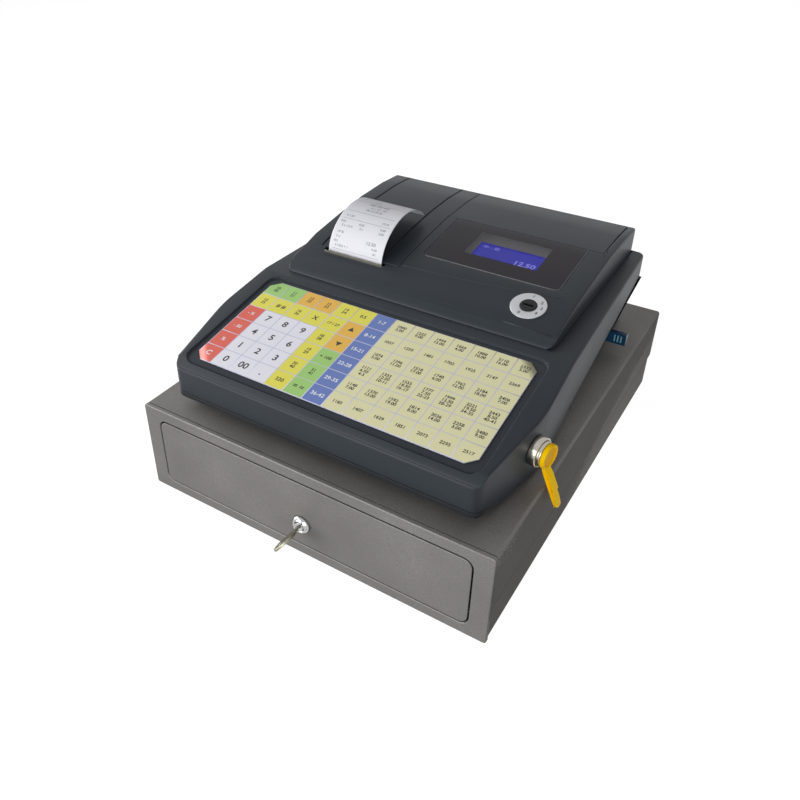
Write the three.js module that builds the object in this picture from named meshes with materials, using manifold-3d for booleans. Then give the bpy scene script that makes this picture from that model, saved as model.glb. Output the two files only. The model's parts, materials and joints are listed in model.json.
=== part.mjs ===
// Electronic ticket register with a flat keyboard, standing on a steel cash drawer.
// Millimetres, +Z up. X runs left to right, Y from the drawer's front to its back.
import * as THREE from 'three';
import { mergeVertices } from 'three/addons/utils/BufferGeometryUtils.js';
import Module from 'manifold-3d';

const wasm = await Module();
wasm.setup();

// Clearances
const seatGap = 0.3;
const slideGap = 0.6;
const turnGap = 0.3;
const cutOverrun = 5;
const mergeTolerance = 0.0001;

// Drawer housing
const drawerWidth = 330;
const drawerDepth = 399;
const drawerHeight = 88;
const footHeight = 3;
const footRadius = 9;
const footStemRadius = 2.8;
const footBulbRadius = 4;
const footBulbHeight = 2.5;
const footInset = 30;
const steel = 1.2;
const seamHeight = 35;
const seamOverlap = 8;
const coverCornerRadius = 2.5;
const frameThickness = 3.6;
const frameGroove = 0.8;
const frameFlangeDepth = 10;
const frameCornerRadius = 2;
const panelSideMargin = 16.6;
const panelTopMargin = 11.9;
const panelLift = 11.3;
const panelGap = 1.2;
const panelCornerRadius = 7;
const panelThickness = 2;

// Sliding drawer
const traySideGap = 25;
const trayFront = 24;
const latchBay = 37;
const trayHeadroom = 29;
const trayLift = 13;
const panelEarDepth = 18;
const panelEarHeight = 40;
const railHeight = 10;
const railThickness = 7.7;
const railLift = 14;
const railStart = 20;
const caseRailEndInset = 16;
const glideLength = 20;
const glideHeight = 2.4;

// Money inserts
const insertSideGap = 0.8;
const insertFloor = 2;
const insertWall = 2;
const coinTrayLength = 116;
const coinTrayHeight = 42;
const coinColumns = 4;
const coinRows = 2;
const noteColumns = 3;
const noteTrayHeight = 40;
const clipRodRadius = 1.8;
const clipRodInset = 14;
const clipRodDrop = 8;
const clipBarrelRadius = 4;
const clipBarrelWidth = 20;
const clipArmWidth = 12;
const clipReach = 70;
const clipThickness = 1.6;
const clipTipLength = 6;
const clipTipRise = 2.5;
const clipFloorGap = 0.5;

// Drawer lock
const drawerLockLift = 34;
const lockBezelRadius = 8.4;
const lockBezelDepth = 4.5;
const lockBezelRimDepth = 1.8;
const lockBezelShoulderDepth = 2.7;
const lockBezelFaceRadius = 5.6;
const lockBarrelRadius = 7;
const lockBarrelDepth = 16;
const plugRadius = 4;
const plugTurn = 40;
const keySlotGap = 0.3;
const keySlotEnd = 2;
const keyBladeThickness = 1.6;
const keyBladeHeight = 5.6;
const keyBladeLength = 14;
const keyNeckLength = 7;
const keyBowLength = 23;
const keyBowHeight = 21;
const keyBowThickness = 2.2;
const keyBowDrop = 1.9;
const keyBowHoleRadius = 2.6;
const keyBowHoleInset = 5.5;
const camLength = 28;
const camWidth = 9;
const camThickness = 2;
const camCornerRadius = 2.2;

// Rear latch
const latchPivotX = 22;
const latchBackGap = 0.9;
const latchPinRadius = 2;
const latchPlateThickness = 2;
const latchArmWidth = 8;
const latchCatchGap = 1.2;
const latchLipLength = 15;
const latchLipThickness = 3;
const latchRelease = 15;
const latchPlateLift = 41;
const strikePinOffset = 12;
const strikeReach = 13;
const strikeHeight = 12;
const strikeWidth = 18;
const yokeEndMargin = 8.2;
const yokeMargin = 10;
const yokeHeight = 26;
const yokePlate = 1.5;
const yokeDrop = 6.5;
const coilRadius = 9;
const coilLength = 28;
const coilOffset = 26;
const plungerRadius = 4.2;
const plungerGap = 5;
const springRadius = 7;
const springWire = 1.6;
const springX = -90;
const springLift = 40;
const springCurls = 5;

// Register casing
const registerSetback = 17.7;
const caseWall = 3;
const frontHalfWidth = 141;
const kinkHalfWidth = 154.6;
const backHalfWidth = 143.5;
const kinkDepth = 80.3;
const caseCornerRadius = 8;
const innerCornerRadius = 2;
const kinkRadius = 26;
const skirtFrontHeight = 14.2;
const skirtLowHeight = 4.5;
const skirtCurveEnd = 32;
const skirtLiftStart = 94;
const skirtLiftEnd = 147;
const skirtLiftHeight = 19.5;
const skirtBackHeight = 47;
const frontFaceHeight = 35;
const frontEdgeRadius = 3;
const keyboardDepth = 12.9;
const keyboardHeight = 45.4;
const keyboardSlope = 9.73;
const deckBendMargin = 11.1;
const deckLevelLead = 63;
const deckLevelHeight = 68.5;
const deckBackHeight = 71;
const lowerInset = 9;
const lowerWall = 2.5;
const lowerLift = 3.6;
const lowerOverlap = 8;
const bandHeight = 4.5;
const postRadius = 4;
const postInset = 14;
const registerFootRadius = 8;
const registerFootLift = 3;
const registerFootInset = 24;

// Keyboard
const sheetWidth = 260;
const sheetLength = 116;
const sheetChamfer = 8;
const sheetThickness = 0.4;
const sheetDepth = 0.6;
const recessMargin = 6.5;
const recessCornerRadius = 10;
const recessDepth = 1.9;
const ledgeWidth = 5;
const keyPlateThickness = 1.2;
const keyPlateMargin = 8;

// Raised block behind the keyboard
const blockHalfWidth = 131.6;
const blockSetback = 5.7;
const blockLength = 210.9;
const blockCornerRadius = 8;
const blockWall = 2.5;
const blockLipHeight = 68.2;
const blockLipSlant = 1.6;
const blockSlopeLead = 12.1;
const blockSlopeStartHeight = 77.2;
const blockSlopeLength = 36.5;
const blockSlopeEndHeight = 87;
const blockMidHeight = 92.3;
const blockCrownHeight = 97.3;
const blockTopHeight = 98.7;
const blockBackHeight = 97.2;
const blockTopShares = [0.234, 0.499, 0.752, 0.943];
const blockEndHeight = 93;
const deckOpeningInset = 8;
const deckOpeningFront = 12;

// Printer flap and rear panel
const flapEdgeX = -30;
const flapGap = 0.5;
const flapFrontLead = 35.2;
const flapSeamHeight = 75;
const dividerWidth = 4;
const panelEdgeX = 124.3;
const rearPanelShare = 0.4868;
const hingeInset = 3.3;
const hingeRise = 2.7;
const hingePinRadius = 1.5;
const hingeKnuckleRadius = 2.6;
const hingeLugWidth = 5;
const hingeLugSpread = 38;
const hingeLugDepth = 1.7;
const hingePinEnd = 1;
const hingeRearDrop = 1.8;
const grooveWidth = 1;
const grooveDepth = 0.5;
const grooveLeftX = -114.5;
const grooveRightX = -50.8;

// Receipt printer
const paperInset = 46;
const paperWidth = 58;
const paperThickness = 0.4;
const slotSideGap = 4;
const slotLength = 4;
const rollRadius = 27;
const rollCoreRadius = 6;
const rollBackGap = 6.7;
const rollHeight = 59;
const chassisHeight = 74;
const chassisNose = 8.5;
const chassisBackInset = 40.6;
const chassisWall = 2;
const chassisSideGap = 1.5;
const platenLead = 7.9;
const platenHeight = 66;
const platenRadius = 5;
const platenShaftRadius = 1.9;
const platenKnobRadius = 7;
const platenKnobWidth = 5;
const headThickness = 3;
const headHeight = 14;
const headRise = 3.5;
const tearBarLength = 63;
const tearBarWidth = 4.4;
const tearBarThickness = 0.8;
const tearBarTeeth = 21;
const tearBarTooth = 1.1;
const archStartHeight = 79;
const archRiseHeight = 111;
const archPeakReach = 51.4;
const archPeakHeight = 131;
const archEndReach = 77.4;
const archEndHeight = 100.8;

// Display
const windowLeftX = -19.5;
const windowRightX = 111.3;
const windowLead = 11;
const windowThickness = 2;
const windowCornerRadius = 5;
const windowLedge = 4;
const ledgeThickness = 1.6;
const apertureLeftMargin = 32;
const apertureRightMargin = 29;
const apertureFrontShare = 0.2778;
const apertureBackShare = 0.1806;
const lcdSlope = 7;
const lcdDrop = 6.4;
const lcdFrameMargin = 11;
const lcdFrameThickness = 5;
const lcdBossInset = 5;
const lcdBossRadius = 2.5;
const lcdGlassInset = 3;
const lcdGlassThickness = 1;

// Mode lock
const modeLockX = 96.3;
const modeLockLead = 32;
const modeRingRadius = 15.4;
const modeRingThickness = 1.2;
const modeRotorRadius = 7.1;
const modeRotorRise = 0.6;
const modeBarrelRadius = 9.5;
const modeBarrelDepth = 22;
const modeSlotLength = 9;
const modeSlotThickness = 2.2;
const modeSlotDepth = 12;

// Waiter lock on the right wall
const waiterKinkGap = 10.3;
const waiterHeight = 30.5;
const waiterFlangeRadius = 13;
const waiterFlangeThickness = 5;
const waiterBarrelRadius = 9;
const waiterBarrelDepth = 16;
const waiterBoreRadius = 6;
const magnetRadius = 10;
const magnetThickness = 4;
const magnetStubDepth = 6;
const keyDiscRadius = 10;
const keyDiscThickness = 4;
const handleWidth = 11;
const handleThickness = 3;
const handleLength = 55;
const handleLean = 9;
const handleTilt = 10;

// Memory stick in the right wall
const stickBackInset = 75.1;
const stickHeight = 16;
const stickBodyLength = 13.5;
const stickBodyHeight = 12;
const stickBodyThickness = 5;
const stickPlugLength = 12;
const stickPlugHeight = 10;
const stickPlugThickness = 4;
const stickGap = 0.4;
const portWall = 1.2;

// Boards and power
const boardThickness = 1.6;
const boardX = -40;
const boardWidth = 140;
const boardFront = 60;
const boardLength = 98;
const boardLift = 9;
const boardPostSize = 8;
const transformerWidth = 54;
const transformerLength = 46;
const transformerHeight = 44;
const transformerX = 90;
const transformerFront = 180;
const transformerCoilInset = 9;
const transformerCoilBulge = 5;
const inletWidth = 27;
const inletHeight = 20;
const inletDepth = 18;
const inletX = 60;
const inletLift = 6;
const inletWall = 1.8;
const inletFlange = 3;
const inletFlangeThickness = 2;
const inletPinRadius = 1.2;
const inletPinLength = 12;
const inletPinSpread = 6;

// Facets
const cornerSteps = 4;
const bendSteps = 6;
const feedSteps = 6;
const archSteps = 18;
const springSides = 5;
const springStepsPerCurl = 8;
const roundSides = 24;
const smallSides = 12;
const ringSides = 40;

// Heights and places that follow from the sizes above
const magnetStart = waiterFlangeThickness + seatGap;
const drawerTop = footHeight + drawerHeight;
const deckBendDepth = keyboardDepth + sheetLength + deckBendMargin;
const deckLevelDepth = deckBendDepth + deckLevelLead;
const blockFrontDepth = deckBendDepth + blockSetback;
const blockSlopeStartDepth = blockFrontDepth + blockSlopeLead;
const blockSlopeEndDepth = blockSlopeStartDepth + blockSlopeLength;
const registerDepth = blockFrontDepth + blockLength;
const registerBack = registerSetback + registerDepth;
const panelWidth = drawerWidth - panelSideMargin - panelSideMargin;
const panelHeight = drawerHeight - panelLift - panelTopMargin;
const panelBottom = footHeight + panelLift;
const panelMiddle = panelBottom + panelHeight / 2;
const panHalfWidth = drawerWidth / 2 - steel - seatGap;
const panInnerHalfWidth = panHalfWidth - steel;
const coverFront = frameThickness + frameGroove;
const trayBottom = footHeight + trayLift;
const trayTop = drawerTop - trayHeadroom;
const trayBack = drawerDepth - latchBay;
const trayWidth = drawerWidth - traySideGap - traySideGap;
const trayInnerHalfWidth = trayWidth / 2 - steel;
const railBottom = trayBottom + railLift;
const insertHalfWidth = trayInnerHalfWidth - insertSideGap;
const insertBottom = trayBottom + steel + seatGap;
const coinTrayFront = trayFront + steel + insertSideGap;
const coinTrayBack = coinTrayFront + coinTrayLength;
const noteTrayFront = coinTrayBack + insertSideGap;
const noteTrayBack = trayBack - steel - insertSideGap;
const strikePinX = latchPivotX - strikePinOffset;
const strikePinY = trayBack + seatGap + strikeReach;
const clipRodY = noteTrayBack - clipRodInset;
const clipRodZ = insertBottom + noteTrayHeight - clipRodDrop;
const lockZ = footHeight + drawerLockLift;
const bandDepth = lowerInset + lowerWall / 2;
const skirtCurveStart = bandDepth + slideGap;
const outward = 90;
const deckSlope = Math.tan(THREE.MathUtils.degToRad(keyboardSlope));
const blockFrontY = registerSetback + blockFrontDepth;

// Geometry helpers

function turnX(degrees) {
  return new THREE.Matrix4().makeRotationX(THREE.MathUtils.degToRad(degrees));
}

function turnY(degrees) {
  return new THREE.Matrix4().makeRotationY(THREE.MathUtils.degToRad(degrees));
}

function turnZ(degrees) {
  return new THREE.Matrix4().makeRotationZ(THREE.MathUtils.degToRad(degrees));
}

// A place with one or more turns, the first one outermost.
function frameAt(x, y, z, ...turns) {
  const frame = new THREE.Matrix4().makeTranslation(x, y, z);
  turns.forEach((turn) => frame.multiply(turn));
  return frame;
}

// A closed geometry becomes a solid once its shared points are merged.
function solidOf(geometry) {
  geometry.deleteAttribute('normal');
  geometry.deleteAttribute('uv');
  const merged = mergeVertices(geometry, mergeTolerance);
  const corners = merged.index.array;
  const kept = [];
  for (let i = 0; i < corners.length; i += 3) {
    const [a, b, c] = [corners[i], corners[i + 1], corners[i + 2]];
    if (a !== b && b !== c && c !== a) {
      kept.push(a, b, c);
    }
  }
  return new wasm.Manifold(new wasm.Mesh({
    numProp: 3,
    vertProperties: new Float32Array(merged.attributes.position.array),
    triVerts: new Uint32Array(kept),
  }));
}

function geometryOf(solid) {
  const mesh = solid.getMesh();
  const geometry = new THREE.BufferGeometry();
  geometry.setAttribute('position', new THREE.BufferAttribute(mesh.vertProperties, 3));
  geometry.setIndex(new THREE.BufferAttribute(mesh.triVerts, 1));
  geometry.computeVertexNormals();
  return geometry;
}

function inFrame(solid, frame) {
  return solid.transform(frame.elements);
}

function joined(solids) {
  return solids.reduce((sum, solid) => sum.add(solid));
}

function cut(solid, cutters) {
  return cutters.reduce((rest, cutter) => rest.subtract(cutter), solid);
}

// A box between two corners.
function box(x0, x1, y0, y1, z0, z1) {
  const geometry = new THREE.BoxGeometry(x1 - x0, y1 - y0, z1 - z0);
  geometry.translate((x0 + x1) / 2, (y0 + y1) / 2, (z0 + z1) / 2);
  return solidOf(geometry);
}

const X = new THREE.Vector3(1, 0, 0);
const Y = new THREE.Vector3(0, 1, 0);
const Z = new THREE.Vector3(0, 0, 1);

function extruded(points, from, to, basis) {
  const shape = new THREE.Shape(points.map(([a, b]) => new THREE.Vector2(a, b)));
  const geometry = new THREE.ExtrudeGeometry(shape, { depth: to - from, bevelEnabled: false });
  geometry.translate(0, 0, from);
  geometry.applyMatrix4(basis);
  return solidOf(geometry);
}

// Outlines given as [y, z], [z, x] and [x, y] points, extruded along X, Y and Z.
const alongX = new THREE.Matrix4().makeBasis(Y, Z, X);
const alongY = new THREE.Matrix4().makeBasis(Z, X, Y);
const alongZ = new THREE.Matrix4();

function prismX(points, x0, x1) {
  return extruded(points, x0, x1, alongX);
}

function prismY(points, y0, y1) {
  return extruded(points, y0, y1, alongY);
}

function prismZ(points, z0, z1) {
  return extruded(points, z0, z1, alongZ);
}

// Points of an arc, angles in quarter turns.
function arc(centreA, centreB, radius, from, to, steps) {
  const points = [];
  for (let i = 0; i <= steps; i += 1) {
    const angle = (from + (to - from) * i / steps) * Math.PI / 2;
    points.push([centreA + radius * Math.cos(angle), centreB + radius * Math.sin(angle)]);
  }
  return points;
}

function disc(radius, sides) {
  return arc(0, 0, radius, 0, 4, sides).slice(0, sides);
}

function roundedRectangle(a0, a1, b0, b1, radius, steps) {
  return [
    ...arc(a1 - radius, b1 - radius, radius, 0, 1, steps),
    ...arc(a0 + radius, b1 - radius, radius, 1, 2, steps),
    ...arc(a0 + radius, b0 + radius, radius, 2, 3, steps),
    ...arc(a1 - radius, b0 + radius, radius, 3, 4, steps),
  ];
}

function shifted(points, a, b) {
  return points.map(([p, q]) => [p + a, q + b]);
}

// Round bars along each axis.
function rodX(radius, x0, x1, y, z, sides) {
  return prismX(shifted(disc(radius, sides), y, z), x0, x1);
}

function rodY(radius, y0, y1, x, z, sides) {
  return prismY(shifted(disc(radius, sides), z, x), y0, y1);
}

function rodZ(radius, z0, z1, x, y, sides) {
  return prismZ(shifted(disc(radius, sides), x, y), z0, z1);
}

// A turned piece about its own +Z from [radius, height] points.
function turned(points, sides) {
  const profile = points.map(([radius, height]) => new THREE.Vector2(radius, height));
  const geometry = new THREE.LatheGeometry(profile, sides);
  geometry.rotateX(Math.PI / 2);
  return solidOf(geometry);
}

// Points of a smooth bend between two straight runs, with its control point.
function bend(start, control, end, steps) {
  const curve = new THREE.QuadraticBezierCurve(
    new THREE.Vector2(...start),
    new THREE.Vector2(...control),
    new THREE.Vector2(...end),
  );
  return curve.getPoints(steps).map((point) => [point.x, point.y]);
}

// The height of a profile of [y, z] points at y.
function heightAt(profile, y) {
  const next = Math.max(1, profile.findIndex(([a]) => a >= y));
  const [a, b] = profile[next - 1];
  const [c, d] = profile[next];
  return b + (d - b) * (y - a) / (c - a);
}

// Finishes
function finish(color, roughness, metalness) {
  return { color, roughness, metalness };
}

const paint = finish('#7f7e7b', 0.45, 0.35);
const darkPaint = finish('#4a4a49', 0.5, 0.3);
const zinc = finish('#a9abad', 0.4, 0.9);
const chrome = finish('#d8dadc', 0.15, 1);
const nickel = finish('#9a9788', 0.35, 0.9);
const abs = finish('#2d3237', 0.6, 0);
const darkAbs = finish('#1d2023', 0.7, 0);
const blackPlastic = finish('#141517', 0.5, 0);
const rubber = finish('#161616', 0.9, 0);
const copper = finish('#a5622f', 0.5, 0.6);
const paper = finish('#ececf2', 0.9, 0);
const legend = finish('#e6e2a6', 0.5, 0);
const film = finish('#c9cbd4', 0.4, 0);
const gloss = finish('#2a272c', 0.1, 0);
const lcdGrey = finish('#5a5a5e', 0.5, 0);
const lcdBlue = finish('#3a35a8', 0.3, 0);
const silverPlate = finish('#cfd1d3', 0.35, 0.6);
const yellowPlastic = finish('#f2c200', 0.4, 0);
const bluePlastic = finish('#1f5c86', 0.4, 0);
const greenBoard = finish('#2c5a3a', 0.6, 0);
const iron = finish('#5d5f62', 0.6, 0.8);

function mesh(name, solid, { color, roughness, metalness }) {
  const material = new THREE.MeshStandardMaterial({ color, roughness, metalness });
  const item = new THREE.Mesh(geometryOf(solid), material);
  item.name = name;
  return item;
}

function groupIn(frame) {
  const group = new THREE.Group();
  group.applyMatrix4(frame);
  register.add(group);
  return group;
}

// Drawer housing: base pan, cover, front frame and feet
function footPlaces() {
  const x = drawerWidth / 2 - footInset;
  return [[-x, footInset], [x, footInset], [-x, drawerDepth - footInset], [x, drawerDepth - footInset]];
}

function basePan() {
  const wallTop = footHeight + seamHeight + seamOverlap;
  const backTop = drawerTop - coverCornerRadius - seatGap;
  const front = coverFront;
  const floor = box(-panHalfWidth, panHalfWidth, front, drawerDepth, footHeight, footHeight + steel);
  const left = box(-panHalfWidth, -panInnerHalfWidth, front, drawerDepth, footHeight, wallTop);
  const right = box(panInnerHalfWidth, panHalfWidth, front, drawerDepth, footHeight, wallTop);
  const back = box(-panHalfWidth, panHalfWidth, drawerDepth - steel, drawerDepth, footHeight, backTop);
  const holes = footPlaces().map(([x, y]) => rodZ(
    footStemRadius + turnGap,
    footHeight - cutOverrun,
    footHeight + cutOverrun,
    x,
    y,
    smallSides,
  ));
  return cut(joined([floor, left, right, back]), holes);
}

function topCover() {
  const half = drawerWidth / 2;
  const bottom = footHeight + seamHeight;
  const low = bottom - cutOverrun;
  const outer = roundedRectangle(low, drawerTop, -half, half, coverCornerRadius, cornerSteps);
  const inner = roundedRectangle(
    low - cutOverrun,
    drawerTop - steel,
    -half + steel,
    half - steel,
    coverCornerRadius - steel,
    cornerSteps,
  );
  const trim = box(-drawerWidth, drawerWidth, 0, drawerDepth + cutOverrun, low - cutOverrun, bottom);
  return cut(prismY(outer, coverFront, drawerDepth), [prismY(inner, 0, drawerDepth + cutOverrun), trim]);
}

function panelOutline(margin) {
  const half = panelWidth / 2 + margin;
  return roundedRectangle(
    panelBottom - margin,
    panelBottom + panelHeight + margin,
    -half,
    half,
    panelCornerRadius + margin,
    cornerSteps,
  );
}

function frontFrame() {
  const half = drawerWidth / 2;
  const plate = prismY(
    roundedRectangle(footHeight, drawerTop, -half, half, frameCornerRadius, cornerSteps),
    0,
    frameThickness,
  );
  const flangeHalf = panInnerHalfWidth - seatGap;
  const flangeTop = drawerTop - steel - seatGap;
  const flangeBottom = footHeight + steel + seatGap;
  const flangeBack = frameThickness + frameFlangeDepth;
  const flange = box(-flangeHalf, flangeHalf, 0, flangeBack, flangeBottom, flangeTop);
  const hollow = box(
    -flangeHalf + steel,
    flangeHalf - steel,
    frameThickness,
    flangeBack - steel,
    flangeBottom + steel,
    flangeTop - steel,
  );
  const opening = prismY(panelOutline(panelGap), -cutOverrun, flangeBack + cutOverrun);
  return cut(plate.add(cut(flange, [hollow])), [opening]);
}

function drawerFoot() {
  const shoulder = footHeight - seatGap;
  const panTop = footHeight + steel + seatGap;
  return turned([
    [0, 0],
    [footRadius, 0],
    [footRadius, shoulder],
    [footStemRadius, shoulder],
    [footStemRadius, panTop],
    [footBulbRadius, panTop],
    [footStemRadius, panTop + footBulbHeight],
    [0, panTop + footBulbHeight],
  ], smallSides);
}

// Runners: a channel on each housing wall and a bar on each side of the tray
function caseRail() {
  const outer = panInnerHalfWidth - seatGap;
  const inner = trayWidth / 2 + railThickness / 2;
  const bottom = railBottom - slideGap - glideHeight - steel;
  const top = railBottom + railHeight + slideGap + glideHeight + steel;
  const back = drawerDepth - caseRailEndInset;
  const channel = box(inner, outer, railStart, back, bottom, top);
  const hollow = box(0, outer - steel, 0, drawerDepth, bottom + steel, top - steel);
  const front = railStart + seatGap;
  const glideTop = railBottom - seatGap;
  const glide = box(
    inner,
    trayWidth / 2 + railThickness,
    railStart,
    front + glideLength,
    bottom,
    glideTop,
  );
  return cut(channel, [hollow]).add(glide);
}

function drawerRail() {
  const inner = trayWidth / 2 + seatGap;
  const outer = inner + railThickness;
  const front = trayFront + panelEarDepth + seatGap;
  return box(inner, outer, front, trayBack, railBottom, railBottom + railHeight);
}

// Sliding drawer: front panel, tray and the strike for the rear latch
function frontPanel() {
  const plate = prismY(panelOutline(0), 0, panelThickness);
  const earBottom = panelMiddle - panelEarHeight / 2;
  const earInner = trayWidth / 2 + seatGap;
  const earOuter = earInner + steel;
  const earBack = trayFront + panelEarDepth;
  const ear = (x0, x1) => box(x0, x1, panelThickness / 2, earBack, earBottom, earBottom + panelEarHeight);
  const hole = rodY(lockBarrelRadius + seatGap, -cutOverrun, cutOverrun, 0, lockZ, roundSides);
  return cut(joined([plate, ear(-earOuter, -earInner), ear(earInner, earOuter)]), [hole]);
}

function drawerTray() {
  const half = trayWidth / 2;
  const shell = box(-half, half, trayFront, trayBack, trayBottom, trayTop);
  const hollow = box(
    -half + steel,
    half - steel,
    trayFront + steel,
    trayBack - steel,
    trayBottom + steel,
    trayTop + cutOverrun,
  );
  return cut(shell, [hollow]);
}

function latchStrike() {
  const back = trayBack + seatGap;
  const bottom = footHeight + latchPlateLift - strikeHeight / 2;
  const top = bottom + strikeHeight;
  const x0 = strikePinX - strikeWidth / 2;
  const x1 = strikePinX + strikeWidth / 2;
  const ears = [bottom, top - yokePlate].map((z) => box(
    strikePinX - latchPinRadius - yokePlate,
    strikePinX + latchPinRadius + yokePlate,
    back,
    strikePinY + latchPinRadius,
    z,
    z + yokePlate,
  ));
  const plate = box(x0, x1, back, back + yokePlate, bottom, top);
  const pin = rodZ(latchPinRadius, bottom, top, strikePinX, strikePinY, smallSides);
  return joined([plate, ...ears, pin]);
}

// Money inserts
function gridTray(front, back, height, columns, rows) {
  const top = insertBottom + height;
  const width = insertHalfWidth + insertHalfWidth;
  const cellWidth = (width - insertWall * (columns + 1)) / columns;
  const cellLength = (back - front - insertWall * (rows + 1)) / rows;
  const shell = box(-insertHalfWidth, insertHalfWidth, front, back, insertBottom, top);
  const cells = [];
  for (let column = 0; column < columns; column += 1) {
    for (let row = 0; row < rows; row += 1) {
      const x = -insertHalfWidth + insertWall + column * (cellWidth + insertWall);
      const y = front + insertWall + row * (cellLength + insertWall);
      const floor = insertBottom + insertFloor;
      cells.push(box(x, x + cellWidth, y, y + cellLength, floor, top + cutOverrun));
    }
  }
  return cut(shell, cells);
}

function noteTray() {
  const tray = gridTray(noteTrayFront, noteTrayBack, noteTrayHeight, noteColumns, 1);
  const reach = insertHalfWidth - insertWall / 2;
  return cut(tray, [rodX(clipRodRadius + turnGap, -reach, reach, clipRodY, clipRodZ, smallSides)]);
}

function clipRod() {
  const reach = insertHalfWidth - insertWall / 2 - seatGap;
  return rodX(clipRodRadius, -reach, reach, clipRodY, clipRodZ, smallSides);
}

// A note clip in its own frame, with the rod's axis at its origin.
function noteClip() {
  const drop = clipRodZ - insertBottom - insertFloor - clipFloorGap;
  const half = clipBarrelWidth / 2;
  const armHalf = clipArmWidth / 2;
  const arm = prismX([
    [-clipRodRadius - turnGap, 0],
    [-clipReach, -drop],
    [-clipReach - clipTipLength, -drop + clipTipRise],
    [-clipReach - clipTipLength, -drop + clipTipRise + clipThickness],
    [-clipReach, -drop + clipThickness],
    [-clipRodRadius - turnGap, clipThickness + clipThickness],
  ], -armHalf, armHalf);
  const barrel = rodX(clipBarrelRadius, -half, half, 0, 0, smallSides);
  const bore = rodX(clipRodRadius + turnGap, -clipBarrelWidth, clipBarrelWidth, 0, 0, smallSides);
  return cut(barrel.add(arm), [bore]);
}

// Drawer lock. Its own +Z points out of the front, so depths run to -Z.
function drawerLock() {
  const bore = plugRadius + turnGap;
  return turned([
    [bore, lockBezelDepth],
    [bore, -lockBarrelDepth],
    [lockBarrelRadius, -lockBarrelDepth],
    [lockBarrelRadius, seatGap],
    [lockBezelRadius, seatGap],
    [lockBezelRadius, lockBezelRimDepth],
    [(lockBezelRadius + lockBezelFaceRadius) / 2, (lockBezelDepth + lockBezelShoulderDepth) / 2],
    [lockBezelFaceRadius, lockBezelDepth],
    [bore, lockBezelDepth],
  ], roundSides);
}

function lockPlug() {
  const back = -lockBarrelDepth - seatGap;
  const plug = rodZ(plugRadius, back, lockBezelDepth - seatGap, 0, 0, roundSides);
  const cam = prismZ(
    roundedRectangle(-camWidth / 2, camLength, -camWidth / 2, camWidth / 2, camCornerRadius, cornerSteps),
    back - camThickness,
    back,
  );
  const slot = box(
    -keyBladeThickness / 2 - keySlotGap,
    keyBladeThickness / 2 + keySlotGap,
    -keyBladeHeight / 2 - keySlotGap,
    keyBladeHeight / 2 + keySlotGap,
    lockBezelDepth - keyBladeLength - keySlotEnd,
    lockBezelDepth + cutOverrun,
  );
  return cut(plug.add(cam), [inFrame(slot, turnZ(-plugTurn))]);
}

// The key in its own frame: blade along -Z, bow flat in the Y-Z plane.
function drawerKey() {
  const bowMiddle = lockBezelDepth + keyNeckLength + keyBowLength / 2;
  const blade = box(
    -keyBladeThickness / 2,
    keyBladeThickness / 2,
    -keyBladeHeight / 2,
    keyBladeHeight / 2,
    lockBezelDepth - keyBladeLength,
    bowMiddle - keyBowHoleRadius,
  );
  const outline = disc(1, roundSides).map(([a, b]) => [
    a * keyBowHeight / 2,
    bowMiddle + b * keyBowLength / 2 - Math.abs(a) * keyBowDrop,
  ]);
  const bow = prismX(outline, -keyBowThickness / 2, keyBowThickness / 2);
  const hole = rodX(
    keyBowHoleRadius,
    -keyBowThickness,
    keyBowThickness,
    0,
    bowMiddle + keyBowHoleInset,
    smallSides,
  );
  return cut(bow.add(blade), [hole]);
}

// Rear latch: hook, yoke, coil, plunger and the spring that pushes the drawer out
const yokeFront = drawerDepth - steel - seatGap - yokePlate;
const latchPivotY = yokeFront - latchArmWidth / 2 - latchBackGap;
const latchZ = footHeight + latchPlateLift;
const latchReach = latchPivotY - strikePinY + latchPinRadius + latchCatchGap + latchLipThickness;
const coilY = yokeFront - coilRadius - seatGap;
const yokeStart = latchPivotX - yokeMargin;
const coilStart = latchPivotX + coilOffset;
const yokeEnd = coilStart + coilLength + seatGap + yokePlate + yokeEndMargin;

function latchHook() {
  const half = latchArmWidth / 2;
  const plate = prismZ([
    [-half, half],
    [-half, -latchReach + latchLipThickness],
    [-latchLipLength, -latchReach + latchLipThickness],
    [-latchLipLength, -latchReach],
    [half, -latchReach],
    [half, half],
  ], -latchPlateThickness / 2, latchPlateThickness / 2);
  const bore = rodZ(latchPinRadius + turnGap, -cutOverrun, cutOverrun, 0, 0, smallSides);
  return cut(plate, [bore]);
}

function solenoidYoke() {
  const back = drawerDepth - steel - seatGap;
  const shelfZ = latchZ - latchPlateThickness / 2 - seatGap;
  const bottom = shelfZ - yokePlate - yokeDrop;
  const plate = box(yokeStart, yokeEnd, yokeFront, back, bottom, bottom + yokeHeight);
  const hookShelf = box(
    yokeStart,
    latchPivotX + latchArmWidth / 2,
    latchPivotY - latchArmWidth / 2,
    back,
    shelfZ - yokePlate,
    shelfZ,
  );
  const pin = rodZ(
    latchPinRadius,
    shelfZ - yokePlate,
    latchZ + latchPlateThickness,
    latchPivotX,
    latchPivotY,
    smallSides,
  );
  const ears = [coilStart - yokePlate - seatGap, coilStart + coilLength + seatGap].map((x) => box(
    x,
    x + yokePlate,
    coilY - coilRadius,
    back,
    latchZ - coilRadius,
    latchZ + coilRadius,
  ));
  const bore = rodX(plungerRadius + turnGap, coilStart - cutOverrun, yokeEnd, coilY, latchZ, roundSides);
  return cut(joined([plate, hookShelf, ...ears]), [bore]).add(pin);
}

function solenoidCoil() {
  const coil = rodX(coilRadius, coilStart, coilStart + coilLength, coilY, latchZ, roundSides);
  const bore = rodX(
    plungerRadius + turnGap,
    coilStart - cutOverrun,
    coilStart + coilLength + cutOverrun,
    coilY,
    latchZ,
    roundSides,
  );
  return cut(coil, [bore]);
}

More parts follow.
